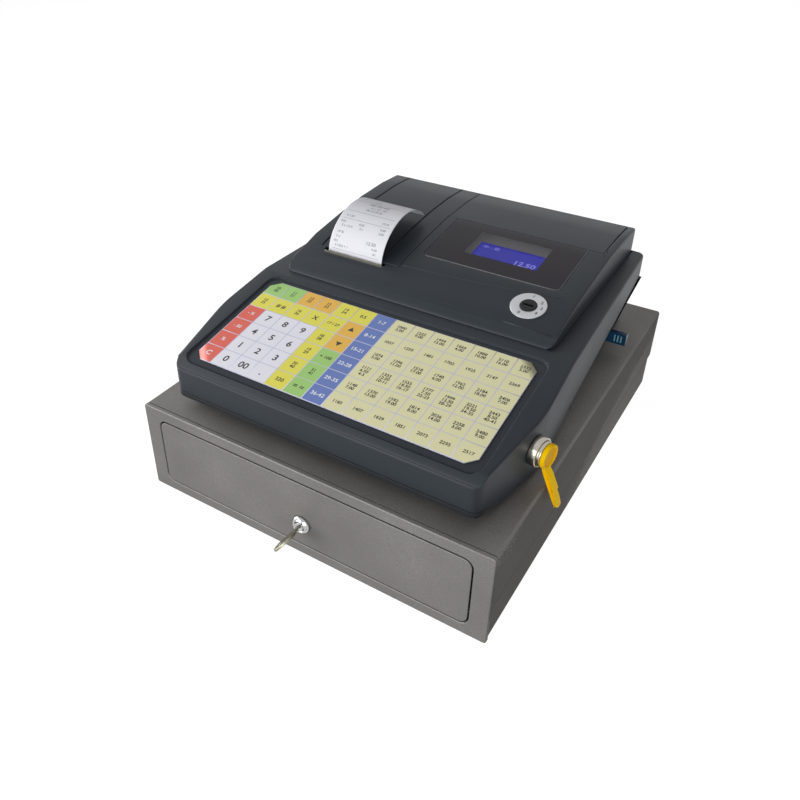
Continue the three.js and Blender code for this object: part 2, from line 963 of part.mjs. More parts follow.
function solenoidPlunger() {
  const start = latchPivotX + latchArmWidth / 2 + plungerGap;
  return rodX(plungerRadius, start, coilStart + coilLength / 2, coilY, latchZ, roundSides);
}

// A helix along Y between the pan's back wall and the tray, as one tube.
function ejectSpring() {
  const start = trayBack + seatGap + springWire / 2;
  const end = drawerDepth - steel - seatGap - springWire / 2;
  const steps = springCurls * springStepsPerCurl;
  const points = [];
  for (let i = 0; i <= steps; i += 1) {
    const angle = i / springStepsPerCurl * Math.PI * 2;
    points.push(new THREE.Vector3(
      springX + springRadius * Math.cos(angle),
      start + (end - start) * i / steps,
      footHeight + springLift + springRadius * Math.sin(angle),
    ));
  }
  const wire = disc(springWire / 2, springSides);
  const section = new THREE.Shape(wire.map(([a, b]) => new THREE.Vector2(a, b)));
  return solidOf(new THREE.ExtrudeGeometry(section, {
    steps,
    bevelEnabled: false,
    extrudePath: new THREE.CatmullRomCurve3(points),
  }));
}

// Register outlines
// The plan outline as [x, y], moved inwards by inset: rounded corners, widest at the kink.
function planOutline(inset) {
  const front = registerSetback + inset;
  const back = registerBack - inset;
  const kink = registerSetback + kinkDepth;
  const flare = (kinkHalfWidth - frontHalfWidth) / kinkDepth;
  const taper = (kinkHalfWidth - backHalfWidth) / (registerDepth - kinkDepth);
  const frontX = frontHalfWidth - inset;
  const kinkX = kinkHalfWidth - inset;
  const backX = backHalfWidth - inset;
  const r = Math.max(caseCornerRadius - inset, innerCornerRadius);
  const reach = kinkRadius / 2;
  const right = [
    ...bend([frontX - r, front], [frontX, front], [frontX + flare * r, front + r], bendSteps),
    ...bend(
      [kinkX - flare * reach, kink - reach],
      [kinkX, kink],
      [kinkX - taper * reach, kink + reach],
      bendSteps,
    ),
    ...bend([backX + taper * r, back - r], [backX, back], [backX - r, back], bendSteps),
  ];
  const left = right.map(([x, y]) => [-x, y]).reverse();
  return [...right, ...left];
}

// The deck's line as [y, z], front edge to back edge.
function onKeyboardSlope(depth) {
  return [registerSetback + depth, drawerTop + keyboardHeight + (depth - keyboardDepth) * deckSlope];
}

const deckLine = [
  ...bend(
    [registerSetback, drawerTop + frontFaceHeight],
    [registerSetback, drawerTop + frontFaceHeight + frontEdgeRadius],
    onKeyboardSlope(keyboardDepth - frontEdgeRadius),
    bendSteps,
  ),
  onKeyboardSlope(deckBendDepth),
  [registerSetback + deckLevelDepth, drawerTop + deckLevelHeight],
  [registerBack - frontEdgeRadius, drawerTop + deckBackHeight],
  [registerBack, drawerTop + deckBackHeight - frontEdgeRadius],
];

function skirtLine() {
  const at = (depth, height) => [registerSetback + depth, drawerTop + height];
  const middle = (skirtCurveStart + skirtCurveEnd) / 2;
  return [
    [registerSetback, drawerTop + skirtFrontHeight],
    ...bend(
      at(skirtCurveStart, skirtFrontHeight),
      at(middle, skirtLowHeight),
      at(skirtCurveEnd, skirtLowHeight),
      bendSteps,
    ),
    ...bend(
      at(skirtLiftStart, skirtLowHeight),
      at((skirtLiftStart + skirtLiftEnd) / 2, skirtLowHeight),
      at(skirtLiftEnd, skirtLiftHeight),
      bendSteps,
    ),
    at(registerDepth, skirtBackHeight),
  ];
}

function upperOuter() {
  const side = [...skirtLine(), ...deckLine.slice().reverse()];
  const plan = prismZ(planOutline(0), drawerTop - cutOverrun, drawerTop + deckBackHeight + cutOverrun);
  return prismX(side, -drawerWidth, drawerWidth).intersect(plan);
}

// Everything under a line of [y, z] points, moved by lift.
function under(line, lift, from, to) {
  const clipped = line.filter(([y]) => y > from && y < to);
  const points = [
    [from, 0],
    [from, heightAt(line, from) + lift],
    ...clipped.map(([y, z]) => [y, z + lift]),
    [to, heightAt(line, to) + lift],
    [to, 0],
  ];
  return prismX(points, -drawerWidth, drawerWidth);
}

const keyboardFrame = frameAt(
  0,
  registerSetback + keyboardDepth,
  drawerTop + keyboardHeight,
  turnX(keyboardSlope),
);

const sheetHalfWidth = sheetWidth / 2;
const keyPlateDrop = caseWall + seatGap;

// A ruled band around the legend sheet, in the keyboard's own frame.
function keyboardRectangle(margin, radius, w0, w1) {
  const outline = roundedRectangle(
    -sheetHalfWidth - margin,
    sheetHalfWidth + margin,
    -margin,
    sheetLength + margin,
    radius,
    cornerSteps,
  );
  return prismZ(outline, w0, w1);
}

function chamferedSheet(margin, w0, w1) {
  const half = sheetHalfWidth + margin;
  const far = sheetLength + margin;
  const c = sheetChamfer;
  return prismZ([
    [-half + c, -margin],
    [half - c, -margin],
    [half, -margin + c],
    [half, far - c],
    [half - c, far],
    [-half + c, far],
    [-half, far - c],
    [-half, -margin + c],
  ], w0, w1);
}

const waiterDepth = kinkDepth - waiterKinkGap;
const waiterY = registerSetback + waiterDepth;
const waiterZ = drawerTop + waiterHeight;
const wallFlare = (kinkHalfWidth - frontHalfWidth) / kinkDepth;
const waiterWallX = frontHalfWidth + wallFlare * waiterDepth;
const wallFlareAngle = THREE.MathUtils.radToDeg(Math.atan(wallFlare));
const waiterFrame = frameAt(
  waiterWallX,
  waiterY,
  waiterZ,
  turnZ(-wallFlareAngle),
  turnY(outward),
);
const deckOpeningFrontY = blockFrontY + deckOpeningFront;
const deckOpeningHalfWidth = blockHalfWidth - deckOpeningInset;

function upperCase() {
  const inner = prismZ(planOutline(caseWall), 0, drawerTop + drawerHeight + drawerHeight);
  const from = registerSetback + caseWall;
  const hollow = under(deckLine, -caseWall, from, registerBack - caseWall).intersect(inner);
  const recess = keyboardRectangle(recessMargin, recessCornerRadius, -recessDepth, cutOverrun);
  const opening = keyboardRectangle(-ledgeWidth, recessCornerRadius, -drawerHeight, 0);
  const keyboardCut = inFrame(recess.add(opening), keyboardFrame);
  const deckOpening = box(
    -deckOpeningHalfWidth,
    deckOpeningHalfWidth,
    deckOpeningFrontY,
    registerBack - deckOpeningInset,
    drawerTop + skirtBackHeight,
    drawerTop + drawerHeight,
  );
  const lockHole = rodZ(waiterBarrelRadius + seatGap, -waiterBarrelDepth, cutOverrun, 0, 0, roundSides);
  return cut(upperOuter(), [hollow, keyboardCut, deckOpening, inFrame(lockHole, waiterFrame)]);
}

// Lower case: an inset tub, with a band that shows under the front face
const lowerBottom = drawerTop + lowerLift;
const lowerFront = registerSetback + lowerInset;
const lowerBack = registerBack - lowerInset;
const inletBottom = lowerBottom + lowerWall + inletLift;

function inletCut(margin) {
  return box(
    inletX - inletWidth / 2 - margin,
    inletX + inletWidth / 2 + margin,
    lowerBack - lowerInset,
    lowerBack + cutOverrun,
    inletBottom - margin,
    inletBottom + inletHeight + margin,
  );
}

const stickDepth = registerDepth - stickBackInset;
const lowerRightX = kinkHalfWidth - lowerInset
  - (kinkHalfWidth - backHalfWidth) * (stickDepth - kinkDepth) / (registerDepth - kinkDepth);
const stickY = registerSetback + stickDepth;
const stickZ = drawerTop + stickHeight;

function stickPort(margin, x0, x1) {
  return box(
    x0,
    x1,
    stickY - stickPlugThickness / 2 - margin,
    stickY + stickPlugThickness / 2 + margin,
    stickZ - stickPlugHeight / 2 - margin,
    stickZ + stickPlugHeight / 2 + margin,
  );
}

function postPlaces() {
  const frontX = frontHalfWidth - lowerInset - postRadius;
  const frontY = lowerFront + postRadius;
  const backX = deckOpeningHalfWidth + postRadius + seatGap;
  const backY = registerBack - postInset - postInset;
  const slope = postRadius * deckSlope;
  const frontTop = heightAt(deckLine, frontY) - keyPlateDrop - keyPlateThickness - slope;
  const backTop = heightAt(deckLine, backY) - caseWall - slope;
  return [
    [-frontX, frontY, frontTop],
    [frontX, frontY, frontTop],
    [-backX, backY, backTop],
    [backX, backY, backTop],
  ];
}

function lowerFootPlaces() {
  const x = frontHalfWidth - registerFootInset;
  const front = lowerFront + registerFootInset;
  const back = lowerBack - registerFootInset;
  return [[-x, front], [x, front], [-x, back], [x, back]];
}

function lowerCase() {
  const line = skirtLine();
  const rim = [
    [lowerFront - cutOverrun, drawerTop + skirtFrontHeight + lowerOverlap],
    ...line.filter(([y]) => y > lowerFront + cutOverrun).map(([y, z]) => [y, z + lowerOverlap]),
  ];
  const outer = prismZ(planOutline(lowerInset), lowerBottom, drawerTop + drawerHeight);
  const inner = prismZ(
    planOutline(lowerInset + lowerWall),
    lowerBottom + lowerWall,
    drawerTop + drawerHeight + cutOverrun,
  );
  const region = under(rim, 0, lowerFront - cutOverrun, registerBack);
  const tub = cut(outer.intersect(region), [inner]);
  const bandTop = drawerTop + skirtFrontHeight - seatGap;
  const bandRing = cut(
    prismZ(planOutline(0), bandTop - bandHeight, bandTop),
    [prismZ(planOutline(bandDepth), 0, drawerTop + drawerHeight)],
  );
  const bandFront = box(-drawerWidth, drawerWidth, 0, registerSetback + bandDepth, 0, bandTop);
  const band = bandRing.intersect(bandFront);
  const posts = postPlaces().map(([x, y, top]) => rodZ(
    postRadius,
    lowerBottom + lowerWall / 2,
    top - seatGap,
    x,
    y,
    smallSides,
  ));
  const stemHoles = lowerFootPlaces().map(([x, y]) => rodZ(
    footStemRadius + turnGap,
    lowerBottom - cutOverrun,
    lowerBottom + cutOverrun,
    x,
    y,
    smallSides,
  ));
  const socket = stickPort(
    stickGap + portWall,
    lowerRightX - stickPlugLength - portWall - stickGap,
    lowerRightX - lowerWall / 2,
  );
  const port = stickPort(stickGap, lowerRightX - stickPlugLength - stickGap, lowerRightX + cutOverrun);
  return cut(joined([tub, band, ...posts, socket]), [...stemHoles, port, inletCut(seatGap)]);
}

function registerFoot() {
  const shoulder = registerFootLift;
  const floorTop = lowerLift + lowerWall + seatGap;
  return turned([
    [0, seatGap],
    [registerFootRadius, seatGap],
    [registerFootRadius, shoulder],
    [footStemRadius, shoulder],
    [footStemRadius, floorTop],
    [footBulbRadius, floorTop],
    [footStemRadius, floorTop + footBulbHeight],
    [0, floorTop + footBulbHeight],
  ], smallSides);
}

// Raised block
const blockLine = [
  [blockFrontDepth, blockLipHeight - blockLipSlant],
  [blockFrontDepth + blockLipSlant, blockLipHeight + blockLipSlant],
  [blockSlopeStartDepth - blockLipSlant, blockSlopeStartHeight - blockLipSlant / 2],
  [blockSlopeStartDepth, blockSlopeStartHeight],
  [blockSlopeEndDepth, blockSlopeEndHeight],
  ...blockTopShares.map((share, i) => [
    blockSlopeEndDepth + share * (registerDepth - blockSlopeEndDepth),
    [blockMidHeight, blockCrownHeight, blockTopHeight, blockBackHeight][i],
  ]),
  [registerDepth, blockEndHeight],
].map(([depth, height]) => [registerSetback + depth, drawerTop + height]);

function blockPlan(wall) {
  return roundedRectangle(
    -blockHalfWidth + wall,
    blockHalfWidth - wall,
    blockFrontY + wall,
    registerBack - wall,
    blockCornerRadius - wall,
    cornerSteps,
  );
}

function blockSolid(wall) {
  const body = under(blockLine, -wall, blockFrontY, registerBack);
  return body.intersect(prismZ(blockPlan(wall), 0, drawerTop + drawerHeight + drawerHeight));
}

function blockShell() {
  const aboveDeck = under(deckLine, seatGap, registerSetback, registerBack);
  return cut(blockSolid(0), [blockSolid(blockWall), aboveDeck]);
}

const flapFrontY = blockFrontY + flapFrontLead;
const paperCentreX = flapEdgeX - paperInset;
const slotWidth = paperWidth + slotSideGap + slotSideGap;
const flapSeamZ = drawerTop + flapSeamHeight;
const blockTopLength = registerDepth - blockSlopeEndDepth;
const rearPanelY = registerBack - rearPanelShare * blockTopLength;
const tallZ = drawerTop + drawerHeight + drawerHeight;

function flapRegion(gap) {
  return box(
    -drawerWidth,
    flapEdgeX - flapGap / 2 + gap,
    flapFrontY - gap,
    registerBack + cutOverrun,
    flapSeamZ - gap,
    tallZ,
  );
}

function rearPanelRegion(gap) {
  return box(
    flapEdgeX + flapGap / 2 - gap,
    panelEdgeX + gap,
    rearPanelY - gap,
    registerBack + cutOverrun,
    flapSeamZ - gap,
    tallZ,
  );
}

const windowY1 = rearPanelY - seatGap;
const windowY0 = registerSetback + blockSlopeEndDepth + windowLead;
const windowLength = windowY1 - windowY0;
const apertureX0 = windowLeftX + apertureLeftMargin;
const apertureX1 = windowRightX - apertureRightMargin;
const apertureY0 = windowY0 + apertureFrontShare * windowLength;
const apertureY1 = windowY1 - apertureBackShare * windowLength;

// The window's outline: round at the front corners, square at the back.
function windowOutline(margin) {
  const x0 = windowLeftX - margin;
  const x1 = windowRightX + margin;
  const y0 = windowY0 - margin;
  const y1 = windowY1 + margin + margin;
  const r = windowCornerRadius;
  return [
    [x1, y1],
    [x0, y1],
    ...arc(x0 + r, y0 + r, r, 2, 3, cornerSteps),
    ...arc(x1 - r, y0 + r, r, 3, 4, cornerSteps),
  ];
}

function windowPrism(margin) {
  return prismZ(windowOutline(margin), 0, tallZ);
}

const modeLockY = blockFrontY + modeLockLead;
const blockSlope = THREE.MathUtils.radToDeg(Math.atan2(
  blockSlopeEndHeight - blockSlopeStartHeight,
  blockSlopeEndDepth - blockSlopeStartDepth,
));
const modeLockFrame = frameAt(modeLockX, modeLockY, heightAt(blockLine, modeLockY), turnX(blockSlope));

// Hinge of the printer flap, at the back of the block
const hingeY = registerBack - hingeInset;
const hingeZ = flapSeamZ + hingeRise;

function hingeLugs(offset) {
  return [-hingeLugSpread, hingeLugSpread].map((x) => {
    const x0 = paperCentreX + x + offset - hingeLugWidth / 2;
    return [x0, x0 + hingeLugWidth];
  });
}

function slotBox() {
  return box(
    paperCentreX - slotWidth / 2,
    paperCentreX + slotWidth / 2,
    flapFrontY - slotLength,
    flapFrontY + cutOverrun,
    drawerTop + deckLevelHeight,
    tallZ,
  );
}

// A ledge that follows the block's top, with its own top at the given depth below it.
function shelf(region, depth) {
  return cut(blockSolid(depth).intersect(region), [blockSolid(depth + ledgeThickness)]);
}

function topHousing() {
  const dividerBar = box(
    flapEdgeX - dividerWidth / 2,
    flapEdgeX + dividerWidth / 2,
    flapFrontY - dividerWidth,
    registerBack - blockWall / 2,
    drawerTop + deckBackHeight + seatGap,
    tallZ,
  ).intersect(blockSolid(blockWall + seatGap));
  const flapTurningRoom = box(
    flapEdgeX - dividerWidth,
    flapEdgeX,
    hingeY - hingeKnuckleRadius - slideGap,
    registerBack,
    flapSeamZ - hingeRearDrop,
    tallZ,
  );
  const divider = cut(dividerBar, [flapTurningRoom]);
  const aperture = box(apertureX0, apertureX1, apertureY0, apertureY1, 0, tallZ);
  const mask = cut(windowPrism(ledgeThickness), [aperture]);
  const windowShelf = cut(shelf(mask, windowThickness + seatGap), [rearPanelRegion(0)]);
  const rearShelf = shelf(box(
    flapEdgeX,
    panelEdgeX + ledgeThickness,
    windowY1 - windowLedge,
    rearPanelY + windowLedge,
    0,
    tallZ,
  ), blockWall + seatGap);
  const lugTop = hingeZ + hingeKnuckleRadius;
  const ears = hingeLugs(-hingeLugWidth - turnGap).map(([x0, x1]) => box(
    x0,
    x1,
    hingeY - hingeKnuckleRadius,
    registerBack - blockWall / 2,
    flapSeamZ - hingeRearDrop - hingeLugDepth,
    flapSeamZ - hingeRearDrop,
  ).add(box(
    x0,
    x1,
    hingeY - hingeKnuckleRadius,
    hingeY + hingeInset - blockWall - turnGap,
    flapSeamZ - hingeRearDrop - hingeLugDepth,
    lugTop,
  )));
  const rearDrop = box(
    -blockHalfWidth - cutOverrun,
    flapEdgeX,
    registerBack - blockWall - cutOverrun,
    registerBack + cutOverrun,
    flapSeamZ - hingeRearDrop,
    tallZ,
  );
  const modeHole = rodZ(modeRotorRadius + turnGap, -modeBarrelDepth, cutOverrun, 0, 0, roundSides);
  const shell = cut(blockShell(), [flapRegion(0), rearPanelRegion(0), rearDrop, windowPrism(seatGap)]);
  const body = joined([shell, divider, windowShelf, rearShelf, ...ears]);
  const pinHole = rodX(
    hingePinRadius + seatGap,
    -blockHalfWidth,
    flapEdgeX,
    hingeY,
    hingeZ,
    smallSides,
  );
  return cut(body, [slotBox(), inFrame(modeHole, modeLockFrame), pinHole]);
}

function printerFlap() {
  const shell = blockShell().intersect(flapRegion(-flapGap / 2));
  const grooves = [grooveLeftX, grooveRightX].map((x) => cut(box(
    x - grooveWidth / 2,
    x + grooveWidth / 2,
    flapFrontY,
    registerBack,
    flapSeamZ,
    tallZ,
  ), [blockSolid(grooveDepth)]));
  const earRoom = hingeLugs(-hingeLugWidth - turnGap).map(([x0, x1]) => box(
    x0 - turnGap,
    x1 + turnGap,
    hingeY - hingeKnuckleRadius - hingeLugWidth,
    registerBack + cutOverrun,
    flapSeamZ - cutOverrun,
    hingeZ + hingeKnuckleRadius + hingeRise,
  ));
  const knuckles = hingeLugs(0).map(([x0, x1]) => {
    const barrel = rodX(hingeKnuckleRadius, x0, x1, hingeY, hingeZ, smallSides);
    const web = box(
      x0,
      x1,
      hingeY,
      registerBack - blockWall / 2,
      hingeZ,
      hingeZ + hingeKnuckleRadius,
    );
    return barrel.add(web);
  });
  const bore = rodX(hingePinRadius + turnGap, -drawerWidth, flapEdgeX, hingeY, hingeZ, smallSides);
  return cut(joined([cut(shell, [...grooves, ...earRoom]), ...knuckles]), [bore]);
}

function flapPin() {
  const right = hingeLugSpread + hingeLugWidth / 2 + hingePinEnd;
  const left = right + hingeLugWidth + turnGap;
  return rodX(hingePinRadius, paperCentreX - left, paperCentreX + right, hingeY, hingeZ, smallSides);
}

function rearPanel() {
  return blockShell().intersect(rearPanelRegion(-flapGap / 2));
}

function displayWindow() {
  return cut(blockSolid(0).intersect(windowPrism(0)), [blockSolid(windowThickness)]);
}

// Receipt printer
function ribbon(path, thickness, x0, x1) {
  const sides = [1, -1].map((side) => path.map(([y, z], i) => {
    const [a, b] = path[Math.max(i - 1, 0)];
    const [c, d] = path[Math.min(i + 1, path.length - 1)];
    const length = Math.hypot(c - a, d - b);
    const half = thickness / 2 * side;
    return [y - (d - b) / length * half, z + (c - a) / length * half];
  }));
  return prismX([...sides[0], ...sides[1].reverse()], x0, x1);
}

const chassisBackY = registerBack - chassisBackInset;
const rollY = chassisBackY - rollRadius - rollBackGap;
const rollZ = drawerTop + rollHeight;
const paperFootZ = rollZ - rollRadius - seatGap - paperThickness / 2;
const chassisFloorZ = paperFootZ - paperThickness / 2 - seatGap;
const platenY = flapFrontY - platenLead;
const platenZ = drawerTop + platenHeight;

// The strip leaves the roll at its foot, passes between platen and head, climbs through the
// slot and curls back over the flap.
function receiptPath() {
  const nipY = platenY + platenRadius + paperThickness / 2 + seatGap;
  const feed = bend([rollY, paperFootZ], [nipY, paperFootZ], [nipY, platenZ - headHeight], feedSteps);
  const arch = new THREE.CubicBezierCurve(
    new THREE.Vector2(nipY, drawerTop + archStartHeight),
    new THREE.Vector2(nipY, drawerTop + archRiseHeight),
    new THREE.Vector2(flapFrontY + archPeakReach, drawerTop + archPeakHeight),
    new THREE.Vector2(flapFrontY + archEndReach, drawerTop + archEndHeight),
  );
  return [...feed, ...arch.getPoints(archSteps).map((point) => [point.x, point.y])];
}

function receiptPaper() {
  const half = paperWidth / 2;
  return ribbon(receiptPath(), paperThickness, paperCentreX - half, paperCentreX + half);
}

function paperRoll() {
  const half = paperWidth / 2;
  const roll = rodX(rollRadius, paperCentreX - half, paperCentreX + half, rollY, rollZ, ringSides);
  const core = rodX(rollCoreRadius, -drawerWidth, drawerWidth, rollY, rollZ, smallSides);
  return cut(roll, [core]);
}

function printerChassis() {
  const inner = paperWidth / 2 + chassisSideGap;
  const outer = inner + chassisWall;
  const front = platenY - chassisNose;
  const back = chassisBackY;
  const floor = chassisFloorZ;
  const top = drawerTop + chassisHeight;
  const sideWall = (x0, x1) => prismX([
    [front, floor],
    [back, floor],
    [back, top],
    [rollY - rollRadius, top],
    [platenY + platenRadius + platenRadius, platenZ + platenShaftRadius + chassisWall + chassisWall],
    [front, platenZ + platenShaftRadius + chassisWall + chassisWall],
  ], paperCentreX + x0, paperCentreX + x1);
  const floorPlate = box(
    paperCentreX - outer,
    paperCentreX + outer,
    front,
    back,
    floor - chassisWall,
    floor,
  );
  const backWall = box(
    paperCentreX - outer,
    paperCentreX + outer,
    back - chassisWall,
    back,
    floor - chassisWall,
    top,
  );
  const shaftHole = rodX(
    platenShaftRadius + turnGap,
    -drawerWidth,
    0,
    platenY,
    platenZ,
    smallSides,
  );
  const legBottom = lowerBottom + lowerWall + seatGap;
  const legs = [-outer, outer - boardPostSize].flatMap((x) => [front, back - boardPostSize].map((y) => box(
    paperCentreX + x,
    paperCentreX + x + boardPostSize,
    y,
    y + boardPostSize,
    legBottom,
    floor,
  )));
  const body = joined([sideWall(-outer, -inner), sideWall(inner, outer), floorPlate, backWall, ...legs]);
  return cut(body, [shaftHole]);
}

function platenRoller() {
  const half = paperWidth / 2;
  const roller = rodX(platenRadius, paperCentreX - half, paperCentreX + half, platenY, platenZ, roundSides);
  const reach = half + chassisSideGap + chassisWall + seatGap;
  const shaft = rodX(
    platenShaftRadius,
    paperCentreX - reach,
    paperCentreX + reach,
    platenY,
    platenZ,
    smallSides,
  );
  const knobStart = paperCentreX + reach;
  const knob = rodX(platenKnobRadius, knobStart, knobStart + platenKnobWidth, platenY, platenZ, smallSides);
  return joined([roller, shaft, knob]);
}

function thermalHead() {
  const half = paperWidth / 2 + chassisSideGap - seatGap;
  const y0 = platenY + platenRadius + paperThickness + seatGap + seatGap;
  return box(
    paperCentreX - half,
    paperCentreX + half,
    y0,
    y0 + headThickness,
    platenZ - headHeight / 2,
    platenZ + headRise,
  );
}

function tearBar() {
  const pitch = tearBarLength / tearBarTeeth;
  const outline = [[tearBarLength / 2, -tearBarWidth], [tearBarLength / 2, 0]];
  for (let i = 0; i < tearBarTeeth; i += 1) {
    outline.push([tearBarLength / 2 - i * pitch - pitch / 2, tearBarTooth]);
    outline.push([tearBarLength / 2 - (i + 1) * pitch, 0]);
  }
  outline.push([-tearBarLength / 2, -tearBarWidth]);
  return prismZ(outline, seatGap, seatGap + tearBarThickness);
}

// Display module, in a frame that lies along the block's top
const lcdX = (apertureX0 + apertureX1) / 2;
const lcdY = (apertureY0 + apertureY1) / 2;
const lcdPlace = frameAt(lcdX, lcdY, heightAt(blockLine, lcdY) - lcdDrop, turnX(lcdSlope));

function lcdFrame() {
  const half = (apertureX1 - apertureX0) / 2 + lcdFrameMargin;
  const long = (apertureY1 - apertureY0) / 2 + lcdFrameMargin;
  const bossX = half - lcdBossInset;
  const bossY = long - lcdBossInset;
  const bosses = [[-bossX, -bossY], [bossX, -bossY], [-bossX, bossY], [bossX, bossY]].map(
    ([x, y]) => rodZ(lcdBossRadius, -lcdFrameThickness, lcdDrop, x, y, smallSides),
  );
  const belowShelf = blockSolid(windowThickness + seatGap + ledgeThickness + seatGap);
  const plate = box(-half, half, -long, long, -lcdFrameThickness, 0);
  const room = box(
    -half + lcdFrameMargin - lcdGlassInset,
    half - lcdFrameMargin + lcdGlassInset,
    -long + lcdFrameMargin - lcdGlassInset,
    long - lcdFrameMargin + lcdGlassInset,
    -lcdGlassThickness - seatGap,
    cutOverrun,
  );
  const frame = cut(joined([plate, ...bosses]), [room]);
  return inFrame(inFrame(frame, lcdPlace).intersect(belowShelf), lcdPlace.clone().invert());
}

function lcdGlass() {
  const half = (apertureX1 - apertureX0) / 2 + lcdGlassInset - seatGap;
  const long = (apertureY1 - apertureY0) / 2 + lcdGlassInset - seatGap;
  return box(-half, half, -long, long, -lcdGlassThickness, 0);
}

// Mode lock, in the frame of the block's front slope
function modeRing() {
  const bore = modeRotorRadius + turnGap;
  return turned([
    [bore, seatGap],
    [modeRingRadius, seatGap],
    [modeRingRadius, seatGap + modeRingThickness / 2],
    [modeRingRadius - modeRingThickness / 2, seatGap + modeRingThickness],
    [bore, seatGap + modeRingThickness],
    [bore, seatGap],
  ], ringSides);
}

function modeBarrel() {
  const top = -blockWall - seatGap;
  const bore = modeRotorRadius + turnGap;
  return turned([
    [bore, top - modeBarrelDepth],
    [modeBarrelRadius, top - modeBarrelDepth],
    [modeBarrelRadius, top],
    [bore, top],
    [bore, top - modeBarrelDepth],
  ], roundSides);
}

function modeRotor() {
  const top = seatGap + modeRingThickness + modeRotorRise;
  const rotor = rodZ(modeRotorRadius, -modeBarrelDepth, top, 0, 0, roundSides);
  const slot = box(
    -modeSlotLength / 2,
    modeSlotLength / 2,
    -modeSlotThickness / 2,
    modeSlotThickness / 2,
    top - modeSlotDepth,
    top + cutOverrun,
  );
  return cut(rotor, [slot]);
}

// Waiter lock and its key, in a frame whose +Z points out of the right wall
function waiterLock() {
  const seat = magnetStart - magnetStubDepth - seatGap;
  return turned([
    [0, -waiterBarrelDepth],
    [waiterBarrelRadius, -waiterBarrelDepth],
    [waiterBarrelRadius, seatGap],
    [waiterFlangeRadius, seatGap],
    [waiterFlangeRadius, waiterFlangeThickness - seatGap],
    [waiterFlangeRadius - seatGap, waiterFlangeThickness],
    [waiterBoreRadius, waiterFlangeThickness],
    [waiterBoreRadius, seat],
    [0, seat],
  ], ringSides);
}

function keyMagnet() {
  const stubRadius = waiterBoreRadius - seatGap;
  return turned([
    [0, magnetStart - magnetStubDepth],
    [stubRadius, magnetStart - magnetStubDepth],
    [stubRadius, magnetStart],
    [magnetRadius, magnetStart],
    [magnetRadius, magnetStart + magnetThickness],
    [0, magnetStart + magnetThickness],
  ], roundSides);
}

// The disc, and a handle that hangs down and leans away from the wall.
function waiterKey() {
  const start = magnetStart + magnetThickness + seatGap;
  const head = rodZ(keyDiscRadius, start, start + keyDiscThickness, 0, 0, ringSides);
  const half = handleWidth / 2;
  const outline = [
    [keyDiscRadius / 2, half],
    [keyDiscRadius / 2, -half],
    ...arc(handleLength - half, 0, half, -1, 1, smallSides / 2),
  ];
  const handle = prismZ(outline, -handleThickness, 0);
  const place = frameAt(0, 0, start + keyDiscThickness, turnZ(handleTilt), turnY(-handleLean));
  const floor = box(-handleLength, handleLength, -handleLength, handleLength, start - handleLength, start);
  return cut(head.add(inFrame(handle, place)), [floor]);
}

function memoryStick() {
  const x = lowerRightX + seatGap;
  const body = box(
    x,
    x + stickBodyLength,
    stickY - stickBodyThickness / 2,
    stickY + stickBodyThickness / 2,
    stickZ - stickBodyHeight / 2,
    stickZ + stickBodyHeight / 2,
  );
  return body.add(stickPort(0, lowerRightX - stickPlugLength, x + stickGap));
}

// Boards, transformer and mains inlet
const boardTop = lowerBottom + lowerWall + boardLift;

function mainBoard() {
  const half = boardWidth / 2;
  const y0 = registerSetback + boardFront;
  const y1 = y0 + boardLength;
  const plate = box(boardX - half, boardX + half, y0, y1, boardTop, boardTop + boardThickness);
  const postBottom = lowerBottom + lowerWall + seatGap;
  const posts = [boardX - half, boardX + half - boardPostSize].flatMap(
    (x) => [y0, y1 - boardPostSize].map((y) => box(
      x,
      x + boardPostSize,
      y,
      y + boardPostSize,
      postBottom,
      boardTop,
    )),
  );
  return joined([plate, ...posts]);
}

function powerTransformer() {
  const half = transformerWidth / 2;
  const y0 = registerSetback + transformerFront;
  const bottom = lowerBottom + lowerWall + seatGap;
  const core = box(
    transformerX - half,
    transformerX + half,
    y0,
    y0 + transformerLength,
    bottom,
    bottom + transformerHeight,
  );
  const coil = box(
    transformerX - half + transformerCoilInset,
    transformerX + half - transformerCoilInset,
    y0 - transformerCoilBulge,
    y0 + transformerLength + transformerCoilBulge,
    bottom + transformerCoilInset,
    bottom + transformerHeight - transformerCoilInset,
  );
  return core.add(coil);
}

function mainsInlet() {
  const back = lowerBack + seatGap;
  const x0 = inletX - inletWidth / 2;
  const x1 = inletX + inletWidth / 2;
  const z1 = inletBottom + inletHeight;
  const front = back - inletDepth;
  const body = box(x0, x1, front, back + inletFlangeThickness, inletBottom, z1);
  const flange = box(
    x0 - inletFlange,
    x1 + inletFlange,
    back,
    back + inletFlangeThickness,
    inletBottom - inletFlange,
    z1 + inletFlange,
  );
  const room = box(
    x0 + inletWall,
    x1 - inletWall,
    front + inletWall,
    back + cutOverrun,
    inletBottom + inletWall,
    z1 - inletWall,
  );
  const pins = [-inletPinSpread, 0, inletPinSpread].map((x) => rodY(
    inletPinRadius,
    front + inletWall / 2,
    front + inletWall + inletPinLength,
    inletX + x,
    (inletBottom + z1) / 2,
    smallSides,
  ));
  return joined([cut(body.add(flange), [room]), ...pins]);
}

// The scene graph
const register = new THREE.Group();

function add(name, solid, look) {
  register.add(mesh(name, solid, look));
}

// Right-hand pieces are the left-hand ones mirrored in X.
function addPair(name, solid, look) {
  add(`right_${name}`, solid, look);
  add(`left_${name}`, solid.mirror([1, 0, 0]), look);
}

add('drawer_base_pan', basePan(), darkPaint);
add('drawer_top_cover', topCover(), paint);
add('drawer_front_frame', frontFrame(), paint);
addPair('case_rail', caseRail(), zinc);
footPlaces().forEach(([x, y], i) => {
  const foot = mesh(`drawer_foot_${i + 1}`, drawerFoot(), rubber);
  foot.position.set(x, y, 0);
  register.add(foot);
});

